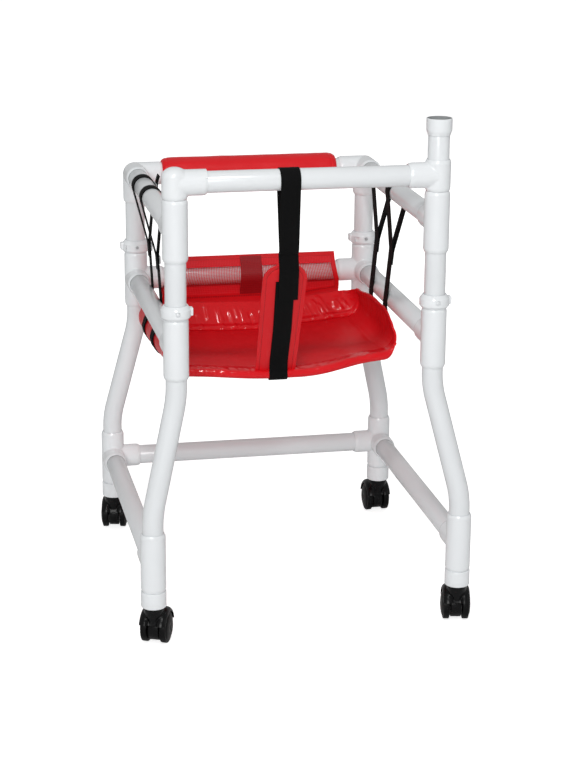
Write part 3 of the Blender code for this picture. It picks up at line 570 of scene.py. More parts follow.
def placeFittings():
    z, y, x = Vector((0, 0, 1)), Vector((0, 1, 0)), Vector((1, 0, 0))
    long, short = fitting["hub"], fitting["shortHub"]
    tee = fittingShape("teeShape", [(z, long), (-z, long), (y, long)])
    sideTee = fittingShape("sideTeeShape", [(z, long), (-z, long), (-y, long), (x, long)])
    elbow = fittingShape("elbowShape", [(-z, long), (-y, long), (x, long)])
    domed = fittingShape("domedShape", [(-z, short), (x, long)], domed=True)
    slip = fittingShape("slipShape", [(z, short), (-z, short), (-x, long)])
    for corner in corners:
        low, top, topName, topNode = tee, tee, "fitting_upper_", "upper_tee_"
        if corner.startswith("rear"):
            low, top, topName, topNode = sideTee, elbow, "fitting_elbow_", "rear_elbow_"
        for shape, name, place, body, node in (
                (low, "fitting_lower_", postOf(corner, layout["lowerRail"]), "lower_frame", "lower_tee_"),
                (low, "fitting_base_", footOf(corner, layout["baseRail"]), "lower_frame", "base_tee_"),
                (top, topName, postOf(corner, layout["upperRail"]), "upper_frame", topNode)):
            turn = -math.pi / 2 if corner == "rear_right" else 0.0
            fitMoulded(copyOf(shape, name + corner, place, turn), body, node + corner)
    elbowPlace, mastPlace = (postOf(corner, layout["frontRail"]) for corner in ("front_left", "front_right"))
    fitMoulded(copyOf(domed, "fitting_front_elbow", elbowPlace), "upper_frame", "front_elbow")
    fitMoulded(copyOf(slip, "fitting_mast_tee", mastPlace), "upper_frame", "mast_tee")
    discard(tee, sideTee, elbow, domed, slip)


placeFittings()
print("stage: fittings")


# The mast's open socket: an eased taper down to the pipe, and a bevelled mouth
socket = {"radius": 0.0200, "bore": 0.0170, "height": 0.0260, "taper": 0.0085, "neck": 0.0178, "rim": 0.0004,
          "mouth": 0.0186, "mouthDepth": 0.0040, "taperSteps": 6}


def placeSocket():
    radius, height, taper = socket["radius"], socket["height"], socket["taper"]
    outline = [(socket["mouth"], 0), (radius, 0), (radius, taper - height)]
    for step in range(1, socket["taperSteps"] + 1):
        share = step / socket["taperSteps"]
        eased = 3 * share ** 2 - 2 * share ** 3
        outline.append((radius - (radius - socket["neck"]) * eased, taper - height - taper * share))
    outline += [(socket["bore"], -height), (socket["bore"], -socket["mouthDepth"]), (socket["mouth"], 0)]
    piece = turnedPiece("mastSocket", outline, postOf("front_right", layout["mastTop"]), sides=96)
    roundEdges(piece, socket["rim"], 3, 50)
    smoothShade(piece)
    fitMoulded(piece, "upper_frame", "mast_socket")
    # The faces that look into the mouth get the painted shade
    piece.data.materials.append(materials["paintedShadePvc"])
    axis = postOf("front_right")
    for face in piece.data.polygons:
        out = Vector((face.center.x - axis.x, face.center.y - axis.y, 0))
        if out.dot(face.normal) < -0.3 * out.length:  # it looks inwards
            face.material_index = 1


# The flanged plugs under the base tees
plug = {"bottom": 0.0650, "height": 0.0267, "radius": 0.0202, "topRound": 0.0012, "bottomRound": 0.0026,
        "stemHole": 0.0058}


def placePlugs():
    radius, height, hole = plug["radius"], plug["height"], plug["stemHole"]
    shape = turnedPiece("plugShape", [(hole, 0), (radius, 0), (radius, height), (hole, height), (hole, 0)],
                        sides=96)
    editEdges(shape, lambda place: place.z < 0.0001 and place.xy.length > radius - 0.0001)
    bpy.ops.mesh.bevel(offset=plug["bottomRound"], segments=5, affect="EDGES")
    endEdit()
    roundEdges(shape, plug["topRound"], 3, 60)
    smoothShade(shape)
    for corner in corners:
        fitMoulded(copyOf(shape, "plug_" + corner, footOf(corner, plug["bottom"])), "lower_frame")
    discard(shape)


placeSocket()
placePlugs()
print("stage: socket and plugs")


# Locking collars, with an ear at one side, and their buttons
collar = {"bottom": 0.5253, "height": 0.0215, "radius": 0.0236, "bore": 0.0170, "topWall": 0.0016,
          "bottomRadius": 0.0204, "topRise": 0.0068, "bottomRise": 0.0038, "round": 0.0007, "earIn": 0.0015,
          "earReach": 0.0266, "earWidth": 0.0125, "earHeight": 0.0125, "earRound": 0.0016,
          "pocketTurn": 42.0, "pocketSize": (0.0085, 0.008, 0.0075), "pocketDepth": 0.0011, "pocketAt": 0.48}
button = {"radius": 0.0034, "gap": 0.0003, "proud": 0.0010, "depth": 0.0024, "rearShare": 0.72,
          "pinRadius": 0.0022, "pinEnd": 0.0170, "holeEnd": 0.040}


def collarShape(earSide, pocket):
    height, radius, bore = collar["height"], collar["radius"], collar["bore"]
    outline = [(bore, height), (bore + collar["topWall"], height), (radius, height - collar["topRise"]),
               (radius, collar["bottomRise"]), (collar["bottomRadius"], 0), (bore, 0), (bore, height)]
    piece = turnedPiece("collarShape", outline, sides=96)
    inner = bore + collar["earIn"]
    ear = block("ear", (collar["earReach"] - inner, collar["earWidth"], collar["earHeight"]),
                (earSide * (collar["earReach"] + inner) / 2, 0, height / 2))
    roundEdges(ear, collar["earRound"], 3)
    cutWith(piece, ear, "UNION")
    floor = radius + button["proud"] - button["depth"] - button["gap"]
    cutWith(piece, rod("buttonHole", (0, -floor, height / 2), (0, -button["holeEnd"], height / 2),
                       button["radius"] + button["gap"], 40))
    if pocket:
        turn = math.radians(collar["pocketTurn"])
        out = Vector((-math.sin(turn), -math.cos(turn), 0))
        place = out * (radius + collar["pocketSize"][1] / 2 - collar["pocketDepth"])
        place += Vector((0, 0, height * collar["pocketAt"]))
        cutWith(piece, block("pocket", collar["pocketSize"], place, -turn))
    roundEdges(piece, collar["round"], 2, 30)
    smoothShade(piece, 30)
    return piece


def placeButton(corner, end):
    top = collar["radius"] + button["proud"]
    radius = button["radius"] * (1 if end < 0 else button["rearShare"])
    pin, under = button["pinRadius"], top - button["depth"]
    outline = [(0, top), (radius * 0.55, top - 0.0001), (radius * 0.86, top - 0.0004), (radius, top - 0.0010),
               (radius, under), (pin, under), (pin, button["pinEnd"]), (0, button["pinEnd"])]
    place = postOf(corner, collar["bottom"] + collar["height"] / 2)
    piece = turnedPiece("button_" + corner, outline, place, (0, -1, 0), 40)
    smoothShade(piece, 50)
    node = "lock_pin_" + corner
    fit(piece, node, "grey_nylon", "whiteNylon" if end < 0 else "greyNylon", node)


def placeCollars():
    shapes = {-1: collarShape(1, False), 1: collarShape(-1, True)}
    for corner, (side, end) in corners.items():
        piece = copyOf(shapes[end], "lockingCollar_" + corner, postOf(corner, collar["bottom"]))
        fitMoulded(piece, "lower_frame", "collar_" + corner)
        placeButton(corner, end)
    discard(*shapes.values())


placeCollars()
print("stage: collars")


# Twin-wheel casters: a hood with two fenders and a tapered neck between them, web, axle, stem and two wheels
caster = {"trail": 0.014, "wheelRadius": 0.025, "gap": 0.0015, "pocketIn": 0.0085, "pocketOut": 0.04,
          "webHalf": 0.0082, "webRadius": 0.0215, "webRound": 0.0006, "top": 0.0645, "spare": 0.004,
          "front": 0.0335, "frontHeight": 0.037, "slope": 6.0, "neckTop": 0.0172, "neckTip": 0.0066,
          "neckTipHeight": 0.0305, "stemTop": 0.108, "stemRadius": 0.0055, "axleRadius": 0.003,
          "axleHalf": 0.020, "voxel": 0.0007, "passes": 5,
          "yaw": {"front_left": -24.0, "front_right": -11.0, "rear_left": -12.0, "rear_right": 1.0}}
# Outline of the hood from its middle out: distance from the middle, and radius round the axle
hoodOutline = [(0, 0.0292), (0.0070, 0.0293), (0.0084, 0.0318), (0.0110, 0.0333), (0.0140, 0.0333),
               (0.0173, 0.0326), (0.0198, 0.0310), (0.0215, 0.0289), (0.0222, 0.0266)]
# Outline of a wheel from its outer face in: radius, and distance from the caster's middle
wheelOutline = [(0, 0.0247), (0.0040, 0.0246), (0.0046, 0.0240), (0.0056, 0.0239), (0.0062, 0.0243),
                (0.0110, 0.0238), (0.0160, 0.0230), (0.0196, 0.0218), (0.0206, 0.0210), (0.0210, 0.0203),
                (0.0216, 0.0203), (0.0220, 0.0208), (0.0236, 0.0206), (0.0246, 0.0200), (0.0250, 0.0188),
                (0.0250, 0.0125), (0.0247, 0.0112), (0.0238, 0.0106), (0.0120, 0.0108), (0.0034, 0.0105),
                (0.0034, 0.0205), (0, 0.0205)]
axle = Vector((0, caster["trail"], caster["wheelRadius"]))


def acrossAxle(name, first, last, radius, sides):  # a rod along the axle, between two distances
    return rod(name, axle + Vector((first, 0, 0)), axle + Vector((last, 0, 0)), radius, sides)


def hoodShape():
    top, edge = caster["top"], hoodOutline[-1][0]
    outline = [(0, -edge)] + [(radius, -out) for out, radius in reversed(hoodOutline)]
    outline += [(radius, out) for out, radius in hoodOutline[1:]] + [(0, edge)]
    barrel = turnedPiece("barrel", outline, axle, (1, 0, 0), 96)
    tipLine = [(caster["neckTip"] + 0.001, 0.033), (caster["neckTip"] - 0.002, caster["neckTipHeight"]),
               (0, caster["neckTipHeight"] - 0.0008)]
    neckLine = [(0, top + caster["spare"]), (caster["neckTop"], top + caster["spare"]),
                (caster["neckTop"], top), (0.0150, 0.052), (0.0118, 0.041)]
    piece = softSkin("hoodShape", [barrel, turnedPiece("neck", neckLine + tipLine, sides=96)],
                     caster["voxel"], caster["passes"])
    slope = math.radians(caster["slope"])
    front = Vector((0, caster["trail"] - caster["front"], caster["frontHeight"]))
    edit(piece)
    bpy.ops.mesh.bisect(plane_co=front, plane_no=(0, math.sin(slope), math.cos(slope)), use_fill=True,
                        clear_inner=True)
    bpy.ops.mesh.select_all(action="SELECT")
    bpy.ops.mesh.bisect(plane_co=(0, 0, top), plane_no=(0, 0, 1), use_fill=True, clear_outer=True)
    endEdit()
    for side in (-1, 1):
        cutWith(piece, acrossAxle("wheelPocket", side * caster["pocketIn"], side * caster["pocketOut"],
                                  caster["wheelRadius"] + caster["gap"], 96))
    web = acrossAxle("web", -caster["webHalf"], caster["webHalf"], caster["webRadius"], 96)
    roundEdges(web, caster["webRound"], 2)
    tip = turnedPiece("tip", [(0, 0.050), (0.0108, 0.0440)] + tipLine)
    stem = rod("stem", (0, 0, top - caster["spare"]), (0, 0, caster["stemTop"]), caster["stemRadius"], 40)
    axleRod = acrossAxle("axleRod", -caster["axleHalf"], caster["axleHalf"], caster["axleRadius"], 32)
    for part in (tip, web, stem, axleRod):
        cutWith(piece, part, "UNION")
    smoothShade(piece, 32)
    return piece


def placeCasters():
    hood = hoodShape()
    wheels = {}
    for side, name in ((-1, "left"), (1, "right")):
        wheels[name] = turnedPiece("wheelShape", wheelOutline, axle, (side, 0, 0), 72)
        smoothShade(wheels[name], 40)
    for corner in corners:
        place, turn = footOf(corner), math.radians(caster["yaw"][corner])
        fit(copyOf(hood, "casterHood_" + corner, place, turn), "caster_" + corner, "black_nylon",
            "blackNylon", "caster_body_" + corner)
        for name, wheel in wheels.items():
            own = corner + "_" + name
            fit(copyOf(wheel, "casterWheel_" + own, place, turn), "wheel_" + own, "black_nylon",
                "blackTread", "caster_wheel_" + own)
    discard(hood, *wheels.values())


placeCasters()
print("stage: casters")


# Soft goods, each in the space that its CAD solid holds. A sheet is a grid whose points are put in place by
# a shape. A wave's noiseAt gets each place times the wave's fineness, and a number of the wave's own

def ramp(value, start, end):  # eased from 0 at the start to 1 at the end
    share = min(1.0, max(0.0, (value - start) / (end - start)))
    return share * share * (3 - 2 * share)


def near(value, middle, reach):  # 1 at the middle, fading within about the reach
    return math.exp(-((value - middle) / reach) ** 2)


def noiseAt(*place):
    return noise.noise(Vector(place))


def markPoints(piece, name, values):
    piece.data.attributes.new(name, "FLOAT", "POINT").data.foreach_set("value", values)


def bentGrid(name, columns, rows, size, shape, hem=None):
    # shape gives a point's place, and hem its distance from the sewn edge and its way along it
    bpy.ops.mesh.primitive_grid_add(x_subdivisions=columns, y_subdivisions=rows, size=1.0)
    piece = newest(name)
    flat = [(vertex.co.x + 0.5, vertex.co.y + 0.5) for vertex in piece.data.vertices]
    for loop in piece.data.uv_layers.active.data:
        loop.uv = (loop.uv.x * size[0], loop.uv.y * size[1])
    if hem:
        hems = [hem(*place) for place in flat]
        markPoints(piece, "hemDistance", [distance for distance, run in hems])
        markPoints(piece, "hemRun", [run for distance, run in hems])
    for vertex, place in zip(piece.data.vertices, flat):
        vertex.co = shape(*place)
    return piece


def hemDistances(piece):
    return [item.value for item in piece.data.attributes["hemDistance"].data]


def clothWall(piece, thickness, factors=None):  # factors thin the wall from point to point
    thinned = {}
    if factors:
        group = piece.vertex_groups.new(name="wallShare")
        for index, factor in enumerate(factors):
            group.add([index], factor, "REPLACE")
        thinned = {"vertex_group": "wallShare", "thickness_vertex_group": 0.0}
    modify(piece, "SOLIDIFY", thickness=thickness, offset=0.0, **thinned)
    edit(piece)
    bpy.ops.mesh.normals_make_consistent(inside=False)
    endEdit()
    smoothShade(piece, 60)


def hemFactors(piece, width, thin):  # full thickness in the hem, thin elsewhere
    fade = 0.0018
    return [thin + (1 - thin) * (1 - ramp(distance, width, width + fade)) for distance in hemDistances(piece)]


# The sling: seat, side flaps, gathered rear wall and rolled front lip, cut and sewn from one sheet of vinyl.
# 1 is its right side and -1 its left; lean and the lip's angles are in degrees
sling = {"height": 0.396, "halfWidth": {1: 0.190, -1: 0.206}, "lean": {1: 8.0, -1: 27.0}, "corner": 0.026,
         "sagFront": 0.004, "sagRear": 0.008, "rearDip": 0.006, "front": -0.092, "rear": 0.196,
         "flapHeight": 0.069, "rearDrop": 0.016, "frontDrop": 0.042, "steepness": 4, "peak": 0.070,
         "cornerCut": 0.012, "cutLength": 0.015, "frontZone": 0.05, "narrowFront": 0.004,
         "lift": {1: 0.012, -1: 0.004}, "pull": {1: 0.022, -1: 0.011},
         "wallTopY": 0.2285, "cornerX": 0.1845, "cornerDepth": 0.031, "wallLength": 0.062,
         "thickness": 0.0034, "thinShare": 0.5, "hemWidth": 0.0085, "length": 0.368, "area": 0.168,
         "columns": 290, "lipRows": 20, "seatRows": 96, "wallRows": 40, "creases": 30, "seed": 11,
         "creaseFrom": -0.170, "creaseSpan": 0.335, "creaseFade": 0.22, "foldDepth": 0.0042,
         "foldTilt": 0.0011, "rearPucker": 0.0009, "lipPucker": 0.0013, "lipRadius": 0.0065,
         "lipTurn": 150.0, "faceFrom": 40.0, "faceTo": 72.0, "swell": 0.0011, "fineSwell": 0.0006,
         "flapFold": 0.0013, "flapWave": 0.0016, "flapRipple": 0.0008, "flapTurn": 70.0, "flapShrink": 0.6,
         "rearRise": 0.0022, "wallSwell": 0.0012,
         # Where these set in, from and to: across the seat, along it, up the wall and past the flap's foot
         "liftZone": (0.02, 0.14), "pullZone": (0.05, 0.19), "levelZone": (0.012, 0.092),
         "sideZone": (0.09, 0.15), "narrowZone": (0.10, 0.18), "rearZone": (0, 0.15), "foldRise": (0, 0.03),
         "foldFall": (0.28, 0.11), "tiltFall": (0.22, 0.12), "topFade": (1.018, 0.898),
         "flapZone": (0.004, 0.026), "waveZone": (0.02, 0.05)}
# Height of the wall's top edge across the seat
wallTops = [(-0.210, 0.4345), (-0.155, 0.4318), (-0.110, 0.4294), (-0.020, 0.4267), (0.024, 0.4256),
            (0.100, 0.4314), (0.160, 0.4394), (0.210, 0.4430)]


def between(points, place):  # the height of a line of points at that place
    for (one, first), (two, last) in zip(points, points[1:]):
        if place <= two:
            return first + (last - first) * max(0.0, (place - one) / (two - one))
    return points[-1][1]


def sideOf(value):
    return 1 if value >= 0 else -1


def flatOf(side):  # half the width of the seat's floor
    return sling["halfWidth"][side] - sling["corner"]


def slingLine(along, sag, side):  # the cross-section: way out and height at a distance along it
    flat = flatOf(side)
    arc = sling["corner"] * (math.pi / 2 + math.radians(sling["lean"][side]))
    if along <= flat:
        return along, -sag * (1 - (along / flat) ** 2)
    turn = min(along - flat, arc) / sling["corner"]
    past = max(along - flat - arc, 0.0)
    return (flat + sling["corner"] * math.sin(turn) + past * math.cos(turn),
            sling["corner"] * (1 - math.cos(turn)) + past * math.sin(turn))


def flapTop(y):
    rear = ramp(y, sling["peak"], sling["rear"])
    front = ramp(y, sling["peak"], sling["front"]) ** sling["steepness"]
    corner = sling["cornerCut"] * max(0.0, 1 - (y - sling["front"]) / sling["cutLength"]) ** 2
    return sling["flapHeight"] - sling["rearDrop"] * rear - sling["frontDrop"] * front - corner


def flapLength(height, side):  # along the cross-section from the middle up to that height
    flat = flatOf(side)
    lean = math.radians(sling["lean"][side])
    cornerTop = sling["corner"] * (1 + math.sin(lean))
    if height < cornerTop:
        return flat + sling["corner"] * math.acos(1 - height / sling["corner"])
    return flat + sling["corner"] * (math.pi / 2 + lean) + (height - cornerTop) / math.cos(lean)


def seatPoint(along, y):  # measured from the middle of the uprights; along is negative on the left
    side = sideOf(along)
    front = ramp(y, sling["frontZone"], sling["front"])
    sag = sling["sagRear"] + (sling["sagFront"] - sling["sagRear"]) * front
    x, rise = slingLine(abs(along), sag, side)
    lift = sling["lift"][side] * ramp(x, *sling["liftZone"]) * front
    back = sling["pull"][side] * ramp(x, *sling["pullZone"]) * front
    level = 1 if side < 0 else 1 - ramp(x, *sling["levelZone"]) - 0.25 * ramp(x, *sling["sideZone"])
    lift -= sling["rearDip"] * level * ramp(y, *sling["rearZone"])
    if side < 0:
        x -= sling["narrowFront"] * front * ramp(x, *sling["narrowZone"])
    return Vector((math.copysign(x, along), y + back, sling["height"] + rise + lift))


def seatNormal(along, y):  # square to the cross-section, outwards
    way = seatPoint(along + 0.0015, y) - seatPoint(along - 0.0015, y)
    return Vector((0, 1, 0)).cross(way).normalized()


def slingCreases():
    dice = random.Random(sling["seed"])
    creases = []
    for step in range(sling["creases"]):
        share = ((step + dice.uniform(-0.35, 0.35)) / (sling["creases"] - 1)) ** 0.75 if step else 0.0
        strength = 0.55 + 0.75 * share
        creases.append({"x": sling["creaseFrom"] + sling["creaseSpan"] * share,
                        "slant": 0.004 + 0.030 * share ** 2 + dice.uniform(-0.004, 0.004),
                        "depth": dice.choice((1, 1, -0.7)) * dice.uniform(0.0013, 0.0030) * strength,
                        "width": dice.uniform(0.0024, 0.0046), "low": dice.uniform(-0.3, 0.30),
                        "high": dice.uniform(0.60, 1.05)})
    return creases


wallCreases = slingCreases()


def wallShift(x, height, rounding):  # how far creases, the fold at the foot and its puckers stand out
    fadeBy = sling["creaseFade"]
    swell = sling["wallSwell"] * math.sin(math.pi * height)
    shift = swell * noiseAt(x * 38 - height * 1.2, height * 1.1, 3.1)
    for crease in wallCreases:
        off = abs(x - crease["x"] - crease["slant"] * (1 - height)) / crease["width"]
        if off < 3.5:
            low, high = crease["low"], crease["high"]
            fade = ramp(height, low, low + fadeBy) * ramp(height, high, high - fadeBy)
            shift += crease["depth"] * fade * math.exp(-off ** 1.35)
    fold = sling["foldDepth"] * ramp(height, *sling["foldRise"]) * ramp(height, *sling["foldFall"])
    tilt = sling["foldTilt"] * max(-1.0, min(1.0, (height - 0.07) / 0.045))
    tilt *= ramp(height, *sling["tiltFall"])
    shift += (fold + tilt * noiseAt(x * 75, 2.2, 0.5)) * (1 - rounding)
    pucker = noiseAt(x * 130, 1.7, height * 5) + 0.7 * noiseAt(x * 300, 4.7, height * 9)
    return shift + sling["rearPucker"] * near(height, 0.05, 0.09) * pucker


def wallPoint(share, height):  # share goes from -1 to 1 across, height from 0 to 1
    side = sideOf(share)
    flat, rear = flatOf(side), flapTop(sling["rear"])
    edge = flapLength(rear, side)
    along = abs(share) * edge
    foot = seatPoint(math.copysign(along, share), sling["rear"])
    rounding = max(0.0, (along - flat) / (edge - flat))
    turn = rounding * math.pi / 2
    topX = math.copysign(min(along, flat) + (sling["cornerX"] - flat) * math.sin(turn), share)
    topLine = between(wallTops, topX)
    topLine += 0.9 * (sling["height"] + rear - topLine) * ramp(rounding, 0.25, 1)
    top = Vector((topX, sling["wallTopY"] - sling["cornerDepth"] * (1 - math.cos(turn)), topLine))
    out = Vector((-math.copysign(math.sin(turn), share), -0.8 * math.cos(turn), 0.6)).normalized()
    point = foot.lerp(top, height)
    shift = wallShift(point.x, height, rounding) * (1 - 0.6 * rounding) * ramp(height, *sling["topFade"])
    return point + out * shift


def slingRow(across, along):  # the share to the side from -1 to 1, the row, and its place from front to rear
    row = along * (sling["lipRows"] + sling["seatRows"] + sling["wallRows"])
    back = max(0.0, row - sling["lipRows"]) / sling["seatRows"]
    return 2 * across - 1, row, sling["front"] + (sling["rear"] - sling["front"]) * back


def wallHeight(row):  # below 0 until the wall begins
    return (row - sling["lipRows"] - sling["seatRows"]) / sling["wallRows"]


def seatShift(x, y, along, share):  # swells of the floor, the fold beside it and waves of the flap
    past = abs(along) - flatOf(sideOf(share))
    middle = ramp(y, sling["front"], sling["front"] + 0.03) * ramp(y, sling["rear"], sling["rear"] - 0.02)
    swell = sling["swell"] * noiseAt(x * 22, y * 20, 0.5) + sling["fineSwell"] * noiseAt(x * 60, y * 34, 4.2)
    fold = sling["flapFold"] * near(past, 0.009 + 0.004 * noiseAt(y * 18, 2.0, share), 0.0034)
    wave = sling["flapWave"] * noiseAt(y * 26, share * 3, 8.0)
    wave += sling["flapRipple"] * noiseAt(y * 80, along * 60, 5.0)
    return (fold - swell) * middle + ramp(past, *sling["waveZone"]) * wave


def edgePuckers(x, y, row, onFlap):  # along the lip and the rear fold
    lip = sling["lipPucker"] * near(y, sling["front"] + 0.003, 0.011) * (1 - sling["flapShrink"] * onFlap)
    lip *= noiseAt(x * 120, y * 60, 6.0) + 0.5 * noiseAt(x * 260, y * 110, 2.0)
    rear = 0.5 * sling["rearPucker"] * near(y, sling["rear"], 0.010) * noiseAt(x * 130, 1.7, y * 30)
    return lip * min(1.0, row / sling["lipRows"]) + rear


def lipRoll(out, row, onFlap):
    angle = math.radians(sling["lipTurn"] - sling["flapTurn"] * onFlap) * (1 - row / sling["lipRows"])
    ahead, over = math.sin(angle), math.cos(angle)
    # A narrow flat face along the roll's upper side, which catches the light
    first, last = math.radians(sling["faceFrom"]), math.radians(sling["faceTo"])
    share = (angle - first) / (last - first)
    if 0 < share < 1:
        ahead = math.sin(first) + (math.sin(last) - math.sin(first)) * share
        over = math.cos(first) + (math.cos(last) - math.cos(first)) * share
    turned = Vector((0, -ahead, 0)) + out * (1 - over)
    return turned * sling["lipRadius"] * (1 - sling["flapShrink"] * onFlap)


def slingShape(across, along):
    share, row, y = slingRow(across, along)
    if wallHeight(row) > 0:
        return atPosts(*wallPoint(share, wallHeight(row)))
    alongLine = share * flapLength(flapTop(y), sideOf(share))
    point, out = seatPoint(alongLine, y), seatNormal(alongLine, y)
    onFlap = ramp(abs(alongLine) - flatOf(sideOf(share)), *sling["flapZone"])
    shift = seatShift(point.x, y, alongLine, share) - edgePuckers(point.x, y, row, onFlap)
    point.z += sling["rearRise"] * max(0.0, 1 - (sling["rear"] - y) / 0.012) ** 2 * (1 - onFlap)
    point += out * shift
    if row < sling["lipRows"]:
        point += lipRoll(out, row, onFlap)
    return atPosts(*point)


def slingHem(across, along):
    share, row, y = slingRow(across, along)
    y = min(y, sling["rear"])
    distance = flapLength(flapTop(y), sideOf(share)) * (1 - abs(share))
    height = wallHeight(row)
    if height <= 0:
        return distance, y
    if abs(share) > 0.74:  # the wall's corner, where its top has a hem too
        distance = min(distance * 0.9, (1 - height) * sling["wallLength"])
    return distance, y + height * 0.06


def drawnTight(row):
    # The gathered wall and the lip are drawn tight, which leaves them shinier than the floor of the seat
    wall = sling["lipRows"] + sling["seatRows"] - 2
    lip = sling["lipRows"] + 5
    return max(ramp(row, wall, wall + 3), 1 - ramp(row, lip, lip + 5))


def placeSling():
    width = sum(flapLength(sling["flapHeight"], side) for side in (-1, 1))
    size = (width, sling["length"])
    rows = sling["lipRows"] + sling["seatRows"] + sling["wallRows"]
    piece = bentGrid("seatSling", sling["columns"], rows, size, slingShape, slingHem)
    edit(piece)
    bpy.ops.mesh.vertices_smooth(factor=0.4, repeat=1)
    endEdit()
    markPoints(piece, "drawnTight", [drawnTight(vertex.index // (sling["columns"] + 1))
                                     for vertex in piece.data.vertices])
    clothWall(piece, sling["thickness"], hemFactors(piece, sling["hemWidth"], sling["thinShare"]))
    fit(piece, "lower_frame", "red_vinyl", "redVinyl", "seat_sling")


placeSling()
print("stage: sling")


# The tongue that comes up between the legs: two layers of vinyl with thin foam, sewn inside their edge
tongue = {"foot": (-0.0880, 0.3900), "top": (-0.2150, 0.6015), "width": 0.067, "wider": 0.0038, "x": -0.0280,
          "lean": 0.0383, "full": 0.0052, "flange": 0.0028, "groove": 0.0012, "grooveHalf": 0.0011,
          "seam": 0.0058, "foamEdge": 0.011, "wave": 0.0005, "tuck": 0.003, "hemShift": 0.0005,
          "columns": 54, "rows": 150}
tongueRun = Vector((tongue["top"][0] - tongue["foot"][0], tongue["top"][1] - tongue["foot"][1]))


def tongueEdge(across, along):  # distance from the edge, square on, the way across and the way up
    length = tongueRun.length
    up = along * length
    half = (tongue["width"] + tongue["wider"] * ramp(along, 0, 1)) / 2
    over = up - (length - half)
    wide = half if over <= 0 else math.sqrt(max(half * half - over * over, 0.0000003))
    x = (2 * across - 1) * wide
    distance = half - (abs(x) if over <= 0 else math.hypot(x, over))
    return max(distance, 0.0), x, up


def tonguePlace(x, up, lift=0.0):  # a place on the tongue's middle, or that far in front of it
    ahead = tongueRun.normalized()
    y = tongue["foot"][0] + ahead.x * up - ahead.y * lift
    z = tongue["foot"][1] + ahead.y * up + ahead.x * lift
    return Vector((tongue["x"] + tongue["lean"] * (tongue["top"][1] - z) + x, y, z))


def tongueShape(across, along):
    distance, x, up = tongueEdge(across, along)
    wave = tongue["wave"] * noiseAt(x * 30, up * 24, 1.0) * ramp(up, 0, 0.05)
    return atPosts(*tonguePlace(x, up - tongue["tuck"], wave))


def tongueHem(across, along):
    distance, x, up = tongueEdge(across, along)
    return distance + tongue["hemShift"], up


def placeTongue():
    full, flange, seam = tongue["full"], tongue["flange"], tongue["seam"]
    piece = bentGrid("seatTongue", tongue["columns"], tongue["rows"], (tongue["width"], tongueRun.length),
                     tongueShape, tongueHem)
    factors = []
    for hemDistance in hemDistances(piece):
        distance = hemDistance - tongue["hemShift"]
        wall = flange + (full - flange) * ramp(distance, seam, seam + tongue["foamEdge"])
        groove = near(distance, seam, tongue["grooveHalf"])
        factors.append((wall - (wall - tongue["groove"]) * groove) / full)
    clothWall(piece, full, factors)
    fit(piece, "lower_frame", "red_vinyl", "redVinyl", "seat_sling")


placeTongue()
print("stage: tongue")


# The sleeve on the rear lower rail: coated mesh in front, vinyl behind, bound with vinyl all round
sleeve = {"endTop": 0.1515, "endLow": 0.1600, "above": 0.0340, "below": 0.0385, "lower": 0.0150,
          "openHalf": 0.0168, "openFade": 0.001, "meshWall": 0.0005, "binding": 0.0026, "bindingShare": 0.6,
          "topBand": 0.0085, "lowBand": 0.0140, "endBand": 0.0090, "loose": 0.0009, "dip": 0.0010,
          "overlapFrom": -0.020, "overlapTo": 0.018, "overlapLow": -0.0265, "overlapTop": 0.02,
          "overlapLift": 0.0017, "overlapWall": 0.0009, "overlapPattern": 0.06, "columns": 156, "rows": 46}
# Distance from the rail's axis and height above it, from the top edge to the lower
sleeveProfile = [(0.0012, 0.0340), (0.0026, 0.0295), (0.0070, 0.0220), (0.0140, 0.0132), (0.0182, 0.0050),
                 (0.0186, -0.0030), (0.0170, -0.0110), (0.0120, -0.0185), (0.0060, -0.0262),
                 (0.0030, -0.0325), (0.0017, -0.0385)]
sleeveLow = [(-0.160, 0.4222), (0.020, 0.4222), (0.100, 0.4262), (0.160, 0.4372)]  # height of its lower edge


def evenSteps(points, count):  # the same line with its points evenly spaced
    lengths = [0.0]
    for one, two in zip(points, points[1:]):
        lengths.append(lengths[-1] + (two - one).length)
    spaced, place = [], 0
    for step in range(count + 1):
        wanted = lengths[-1] * step / count
        while place < len(points) - 2 and lengths[place + 1] < wanted:
            place += 1
        span = lengths[place + 1] - lengths[place]
        spaced.append(points[place].lerp(points[place + 1], min(1.0, (wanted - lengths[place]) / span)))
    return spaced


def roundedLine(points, passes):  # corners cut off again and again, ends kept
    for turn in range(passes):
        cut = [points[0]]
        for one, two in zip(points, points[1:]):
            cut += [one.lerp(two, 0.25), one.lerp(two, 0.75)]
        points = cut + [points[-1]]
    return points


def lineLength(points):
    return sum((two - one).length for one, two in zip(points, points[1:]))


sleeveLine = evenSteps(roundedLine([Vector(point) for point in sleeveProfile], 3), sleeve["rows"])
sleeveLength = lineLength(sleeveLine)


def sleevePoint(across, along, side, lift=0.0):
    row = min(along * sleeve["rows"], sleeve["rows"] - 0.0001)
    out, height = sleeveLine[int(row)].lerp(sleeveLine[int(row) + 1], row % 1)
    end = sleeve["endTop"] + (sleeve["endLow"] - sleeve["endTop"]) * ramp(height, 0.018, -0.032)
    x = (2 * across - 1) * end
    loose = sleeve["loose"] * ramp(abs(height), 0.014, 0.026)
    out += lift + loose * noiseAt(x * 26, height * 60, 2.0 + side)
    dip = sleeve["dip"] * noiseAt(x * 12, 1.0, 7.0) * ramp(-height, 0.02, 0.035)
    drop = layout["lowerRail"] - sleeve["below"] - between(sleeveLow, x)
    dip -= drop * ramp(-height, 0.012, 0.038)
    return atPosts(x, layout["halfDepth"] + side * out, layout["lowerRail"] + height + dip)


